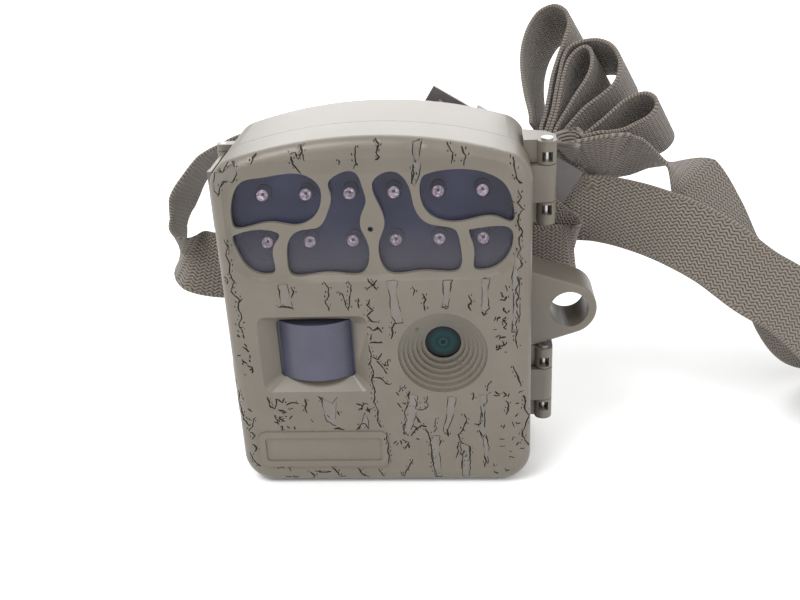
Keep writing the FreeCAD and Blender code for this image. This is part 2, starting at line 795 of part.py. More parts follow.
def make_heat_sensor():
    """Bulging moulded lens of the heat sensor and the metal can behind it."""
    across, up = heat_centre
    half = float(mm.heat_throat_width / 2 - mm.heat_lens_gap)
    radius, skin = float(mm.heat_lens_radius), float(mm.heat_lens_skin)
    apex = float(heat_throat_face - mm.heat_lens_proud)
    seat, thick = float(heat_seat), float(mm.heat_wall)
    low = float(up) - float(mm.heat_throat_height) / 2 + 0.4
    height = float(mm.heat_throat_height) - 0.8

    def bulge(reach, crown, back):
        """Bulging front closed by a straight back, as a face seen from above."""
        side = crown + radius - math.sqrt(radius ** 2 - reach ** 2)
        x = float(across)
        points = [Vector(x - reach, side, low), Vector(x, crown, low), Vector(x + reach, side, low)]
        front = Part.Arc(*points).toShape()
        corners = [points[2], Vector(x + reach, back, low), Vector(x - reach, back, low), points[0]]
        sides = [Part.LineSegment(a, b).toShape() for a, b in zip(corners, corners[1:])]
        return Part.Face(Part.Wire([front] + sides))

    outer = bulge(half, apex, seat).extrude(Vector(0, 0, height))
    inner = bulge(half - skin, apex + skin, seat + thick + 1).extrude(Vector(0, 0, height - 2 * skin))
    inner.translate(Vector(0, 0, skin))
    rim_half = half + float(mm.heat_lens_gap) + float(mm.heat_wall)
    rim = Part.makeBox(2 * rim_half, thick, height + 2 * float(mm.heat_flange),
                       Vector(float(across) - rim_half, seat, low - float(mm.heat_flange)))
    hole = Part.makeBox(2 * (half - skin), thick + 2, height - 2 * skin,
                        Vector(float(across) - half + skin, seat - 1, low + skin))
    lens = doc.addObject("Part::Feature", "pir_lens")
    lens.Shape = outer.cut(inner).fuse(rim).cut(hole).removeSplitter()
    piece("pir_lens", lens)
    can = rod("sensor_can", mm.heat_can_radius, mm.heat_can_height,
              (across, board_front - mm.heat_can_height, up), BACK)
    base = rod("sensor_base", mm.heat_can_radius + 0.6, 0.8, (across, board_front - 0.8, up), BACK)
    piece("pir_sensor", fuse("sensor", can, base))


def make_camera_module():
    """Cover glass, threaded lens barrel, its holder and the picture chip."""
    across, up = lens_centre
    seat = front_face + mm.lens_funnel_depth + mm.lens_boss_back
    piece("lens_glass", rod("lens_cover", mm.lens_throat_radius + mm.lens_glass_lap,
                            mm.lens_glass_thick, (across, seat, up), BACK))
    holder_half = mm.lens_holder_side / 2
    barrel_start = seat + mm.lens_glass_thick
    block_front = barrel_start + mm.lens_barrel_proud
    shell = block("lens_block", (across - holder_half, across + holder_half),
                  (block_front, board_front), (up - holder_half, up + holder_half))
    chip_room = mm.chip_side + 2
    room = block("chip_room", (across - chip_room / 2, across + chip_room / 2),
                 (board_front - 1.6, board_front + 1), (up - chip_room / 2, up + chip_room / 2))
    bore = rod("holder_bore", mm.lens_barrel_radius, 6, (across, block_front - 1, up), BACK)
    piece("lens_holder", cut("lens_holder", shell, room, bore))
    barrel = rod("barrel_body", mm.lens_barrel_radius, board_front - 1.8 - barrel_start,
                 (across, barrel_start, up), BACK)
    dish = cone("barrel_dish", mm.lens_barrel_radius - 1, mm.lens_barrel_radius - 2.6, 0.8,
                (across, barrel_start - 0.01, up), BACK)
    piece("lens_barrel", cut("lens_barrel", barrel, dish))
    half = mm.chip_side / 2
    piece("image_sensor", block("image_sensor", (across - half, across + half),
                                (board_front - mm.chip_thick, board_front),
                                (up - half, up + half)))


def make_boards_and_panel():
    """Main board, the inner panel that closes the cover, its screws and what it carries."""
    board_half = half_width - mm.board_side_gap
    board = block("board_blank", (-board_half, board_half), (board_front, board_back),
                  (mm.main_board_low, mm.main_board_high))
    notches = []
    for number, (across, up) in enumerate(post_centres[:4], start=1):
        notches.append(rod(f"post_clearance_{number}", mm.post_radius + 0.5,
                           mm.board_thick + 2, (across, board_front - 1, up), BACK))
    piece("main_board", cut("main_board", board, *notches))

    panel = doc.addObject("PartDesign::Body", "inner_panel")
    outline = sketch_on(panel, "panel_outline", "XZ_Plane", -panel_back)
    draw(outline, housing_outline(mm.cover_wall + mm.panel_side_gap))
    feature(panel, "Pad", "panel_plate", outline, mm.panel_thick)
    windows = sketch_on(panel, "panel_windows", "XZ_Plane", -(panel_back + 1))
    half_w, half_h = mm.screen_width / 2, mm.screen_height / 2
    draw_rectangle(windows, (mm.screen_across - half_w, mm.screen_across + half_w),
                   (mm.screen_up - half_h, mm.screen_up + half_h))
    for centre in key_centres.values():
        draw_circle(windows, centre, mm.key_radius + mm.key_gap)
    slot_half = (mm.switch_knob + mm.switch_travel) / 2 + mm.key_gap
    draw_rectangle(windows, (mm.switch_across - slot_half, mm.switch_across + slot_half),
                   (mm.switch_up - mm.switch_high / 2 - mm.key_gap,
                    mm.switch_up + mm.switch_high / 2 + mm.key_gap))
    margin = mm.card_gap + mm.socket_wall + mm.key_gap
    draw_rectangle(windows, (mm.card_left - margin,
                             mm.card_left + mm.card_length + mm.card_travel + margin),
                   (mm.card_low - margin, mm.card_low + mm.card_width + margin))
    usb_half_w = mm.usb_width / 2 + mm.key_gap
    usb_half_h = mm.usb_height / 2 + mm.key_gap
    draw_rectangle(windows, (mm.usb_across - usb_half_w, mm.usb_across + usb_half_w),
                   (mm.usb_up - usb_half_h, mm.usb_up + usb_half_h))
    for centre in post_centres:
        draw_circle(windows, centre, mm.screw_radius + 0.2)
    feature(panel, "Pocket", "panel_openings", windows, mm.panel_thick + 2, True)
    piece("inner_panel", panel)

    screws = []
    for number, (across, up) in enumerate(post_centres, start=1):
        head = rod(f"screw_head_{number}", mm.screw_head_radius, mm.screw_head_thick,
                   (across, panel_back, up), BACK)
        shank = rod(f"screw_shank_{number}", mm.screw_radius - 0.05, mm.screw_length,
                    (across, panel_back - mm.screw_length, up), BACK)
        screws.append(fuse(f"panel_screw_{number}", head, shank))
    piece("panel_screws", group("screw_set", screws))

    gap = mm.screen_gap
    piece("lcd_screen", block("lcd_screen",
                              (mm.screen_across - half_w + gap, mm.screen_across + half_w - gap),
                              (board_back, panel_back - 0.3),
                              (mm.screen_up - half_h + gap, mm.screen_up + half_h - gap)))


def make_keys_and_switch():
    """Five keys round a centre key, the click domes under them, and the mode switch."""
    flange_back = panel_front - 0.1
    domes = []
    for label, (across, up) in key_centres.items():
        cap = rod(f"{label}_cap", mm.key_radius, panel_back + mm.key_proud - flange_back,
                  (across, flange_back, up), BACK)
        flange = rod(f"{label}_flange", mm.key_radius + mm.key_flange, mm.key_flange_thick,
                     (across, flange_back - mm.key_flange_thick, up), BACK)
        piece(label, fuse(label, cap, flange))
        domes.append(cone(f"{label}_dome", 2.0, 1.0, mm.dome_thick, (across, board_back, up), BACK))
    piece("key_domes", group("dome_set", domes))

    half = mm.switch_knob / 2
    travel = mm.switch_travel / 2
    high = mm.switch_high / 2
    knob = block("knob", (mm.switch_across - half, mm.switch_across + half),
                 (switch_top, panel_back + 1.4), (mm.switch_up - high, mm.switch_up + high))
    thumb = [
        block(f"grip_{number}", (mm.switch_across + offset - 0.3, mm.switch_across + offset + 0.3),
              (panel_back + 1.0, panel_back + 2), (mm.switch_up - high - 1, mm.switch_up + high + 1))
        for number, offset in enumerate((-1.4, 0.0, 1.4), start=1)
    ]
    piece("mode_switch", cut("mode_switch", knob, *thumb))
    case_half = half + travel + 1.2
    piece("switch_case", block("switch_case",
                               (mm.switch_across - case_half, mm.switch_across + case_half),
                               (board_back, switch_top - 0.05),
                               (mm.switch_up - high - 1, mm.switch_up + high + 1)))


def make_card_and_sockets():
    """Memory card in its metal socket, the cable socket and the light sensor."""
    gap, wall = mm.card_gap, mm.socket_wall
    card_front = board_back + wall + gap
    card_back = card_front + mm.card_thick
    high = mm.card_low + mm.card_width
    grip_end = mm.card_left + mm.card_grip
    cage = block("socket_cage", (mm.card_left - gap - wall, grip_end),
                 (board_back, card_back + gap + wall),
                 (mm.card_low - gap - wall, high + gap + wall))
    room = block("socket_room", (mm.card_left - gap, grip_end + 1),
                 (card_front - gap, card_back + gap), (mm.card_low - gap, high + gap))
    piece("sd_socket", cut("sd_socket", cage, room))

    card = doc.addObject("PartDesign::Body", "sd_card")
    outline = sketch_on(card, "card_outline", "XZ_Plane", -card_back)
    left, right = mm.card_left, mm.card_left + mm.card_length
    draw(outline, polygon([(left, mm.card_low), (right, mm.card_low), (right, high),
                           (left + 4, high), (left, high - 4)]))
    feature(card, "Pad", "card_plate", outline, mm.card_thick)
    piece("sd_card", card)

    usb_w, usb_h = mm.usb_width / 2, mm.usb_height / 2
    depth = panel_back + 0.4
    shell = block("usb_shell", (mm.usb_across - usb_w, mm.usb_across + usb_w),
                  (board_back, depth), (mm.usb_up - usb_h, mm.usb_up + usb_h))
    mouth = block("usb_mouth",
                  (mm.usb_across - usb_w + mm.usb_wall, mm.usb_across + usb_w - mm.usb_wall),
                  (board_back + 0.8, depth + 1),
                  (mm.usb_up - usb_h + mm.usb_wall, mm.usb_up + usb_h - mm.usb_wall))
    piece("usb_socket", cut("usb_socket", shell, mouth))


# ---------------------------------------------------------------- rear shell

def make_rear_shell():
    """Rear moulding: battery space, seal groove, hinge leaves, lock ear, strap bars and lugs."""
    body = doc.addObject("PartDesign::Body", "rear_shell")
    outline = sketch_on(body, "rear_outline", "XZ_Plane", -parting)
    draw(outline, housing_outline(0))
    feature(body, "Pad", "rear_block", outline, mm.rear_depth, True)
    round_edges(body, "rear_rounding", mm.edge_round, lambda edge: lies_at(edge, "y", back_face))
    hollow = sketch_on(body, "rear_hollow", "XZ_Plane", -parting)
    draw(hollow, housing_outline(mm.rear_wall))
    feature(body, "Pocket", "rear_cavity", hollow, mm.rear_depth - mm.back_wall)

    boss = sketch_on(body, "tripod_boss", "XY_Plane", mm.rear_wall / 2)
    draw_circle(boss, (0.0, 0.0), mm.boss_radius)
    feature(body, "Pad", "tripod_boss_pad", boss, mm.boss_height - mm.rear_wall / 2)
    seat = sketch_on(body, "insert_seat", "XY_Plane", 0.0)
    draw_circle(seat, (0.0, 0.0), mm.insert_radius)
    feature(body, "Pocket", "insert_seat_cut", seat, mm.insert_height, True)

    jack = sketch_on(body, "jack_hole", "XY_Plane", 0.0)
    draw_circle(jack, (mm.jack_across, mm.jack_back), mm.jack_radius)
    feature(body, "Pocket", "jack_hole_cut", jack, mm.rear_wall + 1, True)
    dish = sketch_on(body, "plug_recess", "XY_Plane", 0.0)
    draw_circle(dish, (mm.jack_across, mm.jack_back), mm.plug_radius + mm.plug_gap)
    feature(body, "Pocket", "plug_recess_cut", dish,
            mm.plug_inset + mm.plug_cap + mm.plug_gap, True)

    make_ear(body)
    make_leaves(body)
    make_strap_bars(body)
    make_latch_lugs(body)
    groove = sketch_on(body, "seal_groove", "XZ_Plane", -parting)
    draw(groove, housing_outline(groove_inset))
    draw(groove, housing_outline(groove_inset + mm.groove_width))
    feature(body, "Pocket", "seal_groove_cut", groove, mm.groove_depth)
    posts = sketch_on(body, "tray_posts", "XZ_Plane", -tray_back_face)
    for centre in tray_screw_centres:
        draw_circle(posts, centre, mm.post_radius)
    feature(body, "Pad", "tray_post_pad", posts, back_inside - tray_back_face + 0.5, True)
    pilots = sketch_on(body, "tray_pilots", "XZ_Plane", -tray_back_face)
    for centre in tray_screw_centres:
        draw_circle(pilots, centre, mm.screw_radius)
    feature(body, "Pocket", "tray_pilot_cut", pilots, mm.tray_screw_length - mm.tray_back + 0.2)
    return piece("rear_shell", body)


def make_ear(body):
    """Lock ear: a three-cornered lug on the right wall, bored for a padlock or cable."""
    centre = (float(ear_across), float(mm.ear_up))
    radius = float(mm.ear_radius)
    root = float(half_width) - 2
    tangents = []
    for root_up, side in ((float(mm.ear_root_high), 1), (float(mm.ear_root_low), -1)):
        dx, dy = root - centre[0], root_up - centre[1]
        away = math.atan2(dy, dx)
        swing = math.acos(radius / math.hypot(dx, dy))
        tangents.append(away - side * swing)
    top, low = tangents
    points = [(root, float(mm.ear_root_high)), (root, float(mm.ear_root_low))]
    touch = [(centre[0] + radius * math.cos(a), centre[1] + radius * math.sin(a))
             for a in (low, top)]
    sketch = sketch_on(body, "ear_outline", "XZ_Plane", -parting)
    draw(sketch, [
        Part.LineSegment(flat(*points[0]), flat(*points[1])),
        Part.LineSegment(flat(*points[1]), flat(*touch[0])),
        arc(flat(*centre), radius, math.degrees(low), math.degrees(top)),
        Part.LineSegment(flat(*touch[1]), flat(*points[0])),
    ])
    feature(body, "Pad", "ear", sketch, mm.ear_thick, True)
    right = float(half_width) + 0.5
    round_edges(body, "ear_rounding", mm.ear_round, lambda edge: (
        edge.BoundBox.XMin > right - 3 and edge.BoundBox.XMax > right + 2
        and (lies_at(edge, "y", parting) or lies_at(edge, "y", parting + mm.ear_thick))))
    bore = sketch_on(body, "ear_bore", "XZ_Plane", -(parting - 1))
    draw_circle(bore, (ear_across, mm.ear_up), mm.ear_bore_radius)
    feature(body, "Pocket", "ear_bore_cut", bore, mm.ear_thick + 2)


def make_leaves(body):
    """Two hinge leaves, each with an end knuckle above and below the cover's own."""
    wall = half_width - mm.rear_wall / 2
    outer = hinge_across + mm.barrel_radius
    for name, low in (("lower", mm.hinge_low), ("upper", mm.hinge_high)):
        for end, start in (("foot", low), ("head", low + mm.hinge_height - mm.knuckle_height)):
            leaf = sketch_on(body, f"{name}_{end}_leaf", "XY_Plane", start)
            back = parting + mm.leaf_length
            draw(leaf, polygon([(wall, parting), (outer, parting), (outer, back - 4),
                                (outer - 3, back), (wall, back + 3)]))
            feature(body, "Pad", f"{name}_{end}_leaf_pad", leaf, mm.knuckle_height)
            knuckle = sketch_on(body, f"{name}_{end}_knuckle", "XY_Plane", start)
            draw_circle(knuckle, (hinge_across, parting), mm.barrel_radius)
            feature(body, "Pad", f"{name}_{end}_knuckle_pad", knuckle, mm.knuckle_height)
        panel = sketch_on(body, f"{name}_web", "XY_Plane", low + mm.knuckle_height - 0.5)
        behind = parting + mm.barrel_radius + 0.4
        draw_rectangle(panel, (wall, outer - 0.6), (behind, behind + 2.4))
        feature(body, "Pad", f"{name}_web_pad", panel,
                mm.hinge_height - 2 * mm.knuckle_height + 1)
    hinge_bores(body, mm.pin_radius + mm.pin_clearance)
    half = mm.pin_window / 2
    for name, low in (("lower", mm.hinge_low), ("upper", mm.hinge_high)):
        first = low + mm.knuckle_height - mm.pin_window_inset - mm.pin_window
        last = low + mm.hinge_height - mm.knuckle_height + mm.pin_window_inset
        window = sketch_on(body, f"{name}_pin_windows", "XZ_Plane", -parting)
        for bottom in (first, last):
            draw_rectangle(window, (hinge_across - half, hinge_across + half),
                           (bottom, bottom + mm.pin_window))
        feature(body, "Pocket", f"{name}_pin_window_cut", window, mm.barrel_radius + 1, True)


def make_strap_bars(body):
    """Two upright bars on the back, each standing off on two feet, for the strap."""
    half_foot = mm.bar_foot_width / 2
    for name, side in (("left", -1), ("right", 1)):
        centre = side * mm.bar_across
        feet = sketch_on(body, f"{name}_bar_feet", "XZ_Plane", -(back_face - 0.5))
        span = (centre - half_foot, centre + half_foot)
        draw_rectangle(feet, span, (mm.bar_low - mm.bar_foot, mm.bar_low))
        draw_rectangle(feet, span, (mm.bar_high, mm.bar_high + mm.bar_foot))
        feature(body, "Pad", f"{name}_bar_feet_pad", feet,
                mm.bar_slot + mm.bar_thick + 0.5, True)
        bar = sketch_on(body, f"{name}_bar", "XZ_Plane", -(back_face + mm.bar_slot))
        draw_rectangle(bar, (centre - mm.bar_width / 2, centre + mm.bar_width / 2),
                       (mm.bar_low - 1, mm.bar_high + 1))
        feature(body, "Pad", f"{name}_bar_pad", bar, mm.bar_thick, True)


def make_latch_lugs(body):
    """Pairs of lugs on the left wall, bored for the latch pins."""
    out = half_width + mm.latch_pivot_out
    reach = mm.latch_barrel_radius
    for name, low in (("lower", mm.latch_low), ("upper", mm.latch_high)):
        for end, start in (("foot", low), ("head", low + mm.latch_height - mm.latch_lug)):
            lug = sketch_on(body, f"{name}_latch_{end}", "XY_Plane", start)
            draw_rectangle(lug, (-out, -(half_width - 3.2)),
                           (mm.latch_pivot_back - reach, mm.latch_pivot_back + reach))
            feature(body, "Pad", f"{name}_latch_{end}_pad", lug, mm.latch_lug)
            nose = sketch_on(body, f"{name}_latch_{end}_nose", "XY_Plane", start)
            draw_circle(nose, (-out, mm.latch_pivot_back), reach)
            feature(body, "Pad", f"{name}_latch_{end}_nose_pad", nose, mm.latch_lug)
        bore = sketch_on(body, f"{name}_latch_bore", "XY_Plane", low - 1)
        draw_circle(bore, (-out, mm.latch_pivot_back), mm.latch_pin_radius)
        feature(body, "Pocket", f"{name}_latch_bore_cut", bore, mm.latch_height + 2, True)


# ---------------------------------------------------------------- pieces on the rear shell

def make_hinge_pins():
    """One steel pin per hinge group, headed at the top."""
    for label, low in (("hinge_pin_lower", mm.hinge_low), ("hinge_pin_upper", mm.hinge_high)):
        shank = rod(label + "_shank", mm.pin_radius, mm.hinge_height,
                    (hinge_across, parting, low))
        head = rod(label + "_head", mm.pin_head_radius, mm.pin_head_height,
                   (hinge_across, parting, low + mm.hinge_height))
        piece(label, fuse(label, shank, head))


def make_latches():
    """Two latch levers on upright pins, each with a finger lip at its nose."""
    out = half_width + mm.latch_pivot_out
    clear = mm.latch_lug + mm.latch_end_gap
    tall = mm.latch_height - 2 * clear
    nose = mm.latch_pivot_back - mm.latch_reach
    inner = half_width + mm.latch_side_gap
    for end, low in (("lower", mm.latch_low), ("upper", mm.latch_high)):
        body = doc.addObject("PartDesign::Body", f"latch_{end}")
        plate = sketch_on(body, f"{end}_lever_plate", "XY_Plane", low + clear)
        outer = inner + mm.latch_thick
        draw(plate, polygon([(-inner, mm.latch_pivot_back), (-outer, mm.latch_pivot_back),
                             (-outer, nose + 4), (-(outer + mm.latch_lip), nose + 1),
                             (-(outer + mm.latch_lip), nose), (-inner, nose)]))
        feature(body, "Pad", f"{end}_lever_pad", plate, tall)
        barrel = sketch_on(body, f"{end}_lever_barrel", "XY_Plane", low + clear)
        draw_circle(barrel, (-out, mm.latch_pivot_back), mm.latch_barrel_radius)
        feature(body, "Pad", f"{end}_lever_barrel_pad", barrel, tall)
        bore = sketch_on(body, f"{end}_lever_bore", "XY_Plane", low)
        draw_circle(bore, (-out, mm.latch_pivot_back), mm.latch_pin_radius + mm.pin_clearance)
        feature(body, "Pocket", f"{end}_lever_bore_cut", bore, mm.latch_height, True)
        piece(f"latch_{end}", body)
        piece(f"latch_pin_{end}", rod(f"latch_pin_{end}", mm.latch_pin_radius - 0.02,
                                      mm.latch_height, (-out, mm.latch_pivot_back, low)))


def make_seal_and_inserts():
    """Rubber seal in its groove, brass tripod insert, power jack and its rubber plug."""
    gap = mm.gasket_side_gap
    seal = doc.addObject("PartDesign::Body", "gasket")
    ring = sketch_on(seal, "seal_ring", "XZ_Plane", -parting)
    draw(ring, housing_outline(groove_inset + gap))
    draw(ring, housing_outline(groove_inset + mm.groove_width - gap))
    feature(seal, "Pad", "seal_pad", ring, mm.groove_depth, True)
    piece("gasket", seal)

    sleeve = rod("insert_sleeve", mm.insert_radius, mm.insert_height, (0.0, 0.0, 0.0))
    bore = rod("insert_bore", mm.insert_bore, mm.insert_height + 2, (0.0, 0.0, -1.0))
    piece("tripod_insert", cut("tripod_insert", sleeve, bore))

    at = (mm.jack_across, mm.jack_back)
    can = rod("jack_can", mm.jack_radius + mm.jack_wall, mm.jack_height, (*at, mm.rear_wall))
    throat = rod("jack_throat", mm.jack_radius - 1.4, mm.jack_height - 1.2,
                 (*at, mm.rear_wall - 1))
    centre = rod("jack_pin", mm.jack_pin_radius, mm.jack_height - 1.5, (*at, mm.rear_wall + 0.6))
    piece("power_jack", fuse("power_jack", cut("jack_shell", can, throat), centre))
    cap = rod("plug_cap", mm.plug_radius, mm.plug_cap, (*at, mm.plug_inset))
    stem_low = mm.plug_inset + mm.plug_cap
    stem = rod("plug_stem", mm.jack_radius - 0.3, mm.rear_wall - stem_low - 0.2,
               (*at, stem_low))
    piece("jack_plug", fuse("jack_plug", cap, stem))


def make_batteries():
    """Tray, cells in two rows, contact springs and plates, and the tray's screws."""
    pitch, radius = mm.cell_pitch, mm.cell_radius
    half = 1.5 * pitch + radius + 0.35
    outer = half + mm.tray_wall
    row = mm.cell_length + mm.cell_nub + mm.spring_length + 2 * mm.contact_thick
    middle = mm.tray_low + mm.tray_wall + row
    top = middle + mm.tray_wall + row + mm.tray_wall
    front = tray_inner_face - mm.tray_lip
    shell = block("tray_blank", (-outer, outer), (front, tray_back_face), (mm.tray_low, top))
    wells = [
        block(f"tray_well_{number}", (-half, half), (front - 1, tray_inner_face), (low, low + row))
        for number, low in enumerate((mm.tray_low + mm.tray_wall, middle + mm.tray_wall), start=1)
    ]
    holes = [
        rod(f"tray_hole_{number}", mm.screw_radius + 0.2, mm.tray_back + 2,
            (across, tray_inner_face - 1, up), BACK)
        for number, (across, up) in enumerate(tray_screw_centres, start=1)
    ]
    piece("battery_tray", cut("battery_tray", shell, *wells, *holes))
    screws = []
    for number, (across, up) in enumerate(tray_screw_centres, start=1):
        head = rod(f"tray_head_{number}", mm.screw_head_radius, mm.screw_head_thick,
                   (across, tray_inner_face - mm.screw_head_thick, up), BACK)
        shank = rod(f"tray_shank_{number}", mm.screw_radius - 0.05, mm.tray_screw_length,
                    (across, tray_inner_face, up), BACK)
        screws.append(fuse(f"tray_screw_{number}", head, shank))
    piece("tray_screws", group("tray_screw_set", screws))

    cells, springs, plates = [], [], []
    centre_back = tray_inner_face - radius - 0.15
    for row_number, low in enumerate((mm.tray_low + mm.tray_wall, middle + mm.tray_wall)):
        for column in range(4):
            number = 4 * row_number + column + 1
            across = pitch * (column - 1.5)
            flipped = (column + row_number) % 2 == 1
            start = low + mm.contact_thick
            can_low = start + (mm.cell_nub if flipped else mm.spring_length)
            nub_low = start if flipped else can_low + mm.cell_length
            spring_low = can_low + mm.cell_length if flipped else start
            can = rod(f"cell_can_{number}", radius, mm.cell_length, (across, centre_back, can_low))
            nub = rod(f"cell_nub_{number}", mm.cell_nub_radius, mm.cell_nub,
                      (across, centre_back, nub_low))
            cells.append(fuse(f"cell_{number}", can, nub))
            wide, narrow = mm.spring_radius, mm.spring_radius - 1
            ends = (narrow, wide) if flipped else (wide, narrow)
            springs.append(cone(f"spring_{number}", *ends, mm.spring_length,
                                (across, centre_back, spring_low)))
            for end, plate_low in (("low", low), ("high", low + row - mm.contact_thick)):
                plates.append(block(f"plate_{end}_{number}", (across - 5, across + 5),
                                    (centre_back - 5, centre_back + 5),
                                    (plate_low, plate_low + mm.contact_thick)))
    piece("battery_cells", group("cell_set", cells))
    piece("battery_springs", group("spring_set", springs))
    piece("contact_plates", group("plate_set", plates))


# ---------------------------------------------------------------- strap and buckle

def make_buckle():
    """Cam buckle: a flat plate with two cheeks, the cam lever between them and its pin."""
    half_long, half_wide = mm.buckle_length / 2, mm.buckle_width / 2
    pin_back = mm.buckle_plate + mm.strap_thick + mm.cam_gap + mm.cam_radius
    cheek_long = mm.cam_radius * 3
    plate = block("buckle_plate", (-half_long, half_long), (0.0, mm.buckle_plate),
                  (-half_wide, half_wide))
    cheeks = [
        block(f"cheek_{name}", (-cheek_long, cheek_long), (0.0, mm.buckle_plate + mm.buckle_depth),
              span)
        for name, span in (("low", (-half_wide, mm.buckle_wall - half_wide)),
                           ("high", (half_wide - mm.buckle_wall, half_wide)))
    ]
    bore = rod("cheek_bore", mm.cam_pin_radius, mm.buckle_width + 2,
               (0.0, pin_back, -half_wide - 1))
    slot_left = mm.buckle_slot_across - mm.buckle_slot / 2
    slot_half = mm.strap_width / 2 + mm.strap_slack
    slot = block("plate_slot", (slot_left, slot_left + mm.buckle_slot), (-1, mm.buckle_plate + 1),
                 (-slot_half, slot_half))
    frame = cut("buckle_frame", fuse("buckle_body", plate, *cheeks), bore, slot)

    cam_low = mm.buckle_wall + mm.cam_side_gap - half_wide
    cam_width = mm.buckle_width - 2 * (mm.buckle_wall + mm.cam_side_gap)
    drum = rod("cam_drum", mm.cam_radius, cam_width, (0.0, pin_back, cam_low))
    lever = block("cam_arm", (-mm.cam_lever, 0.0),
                  (pin_back + mm.cam_radius - 2.4, pin_back + mm.cam_radius),
                  (cam_low, cam_low + cam_width))
    eye = rod("cam_bore", mm.cam_pin_radius + mm.pin_clearance, mm.buckle_width,
              (0.0, pin_back, -half_wide))
    cam = cut("buckle_cam", fuse("cam_body", drum, lever), eye)
    pin = rod("buckle_pin", mm.cam_pin_radius - 0.02, mm.buckle_width, (0.0, pin_back, -half_wide))
    for thing in (frame, cam):
        place(thing, (mm.buckle_across, mm.buckle_behind, mm.buckle_up),
              Rotation(Vector(0, 1, 0), float(mm.buckle_tilt)))
        bind(thing, "Placement.Rotation.Angle", mm.buckle_tilt)
    whole_pin = group("buckle_pin", [pin])
    place(whole_pin, (mm.buckle_across, mm.buckle_behind, mm.buckle_up),
          Rotation(Vector(0, 1, 0), float(mm.buckle_tilt)))
    bind(whole_pin, "Placement.Rotation.Angle", mm.buckle_tilt)
    piece("buckle_frame", frame)
    piece("buckle_cam", cam)
    piece("buckle_pin", whole_pin)


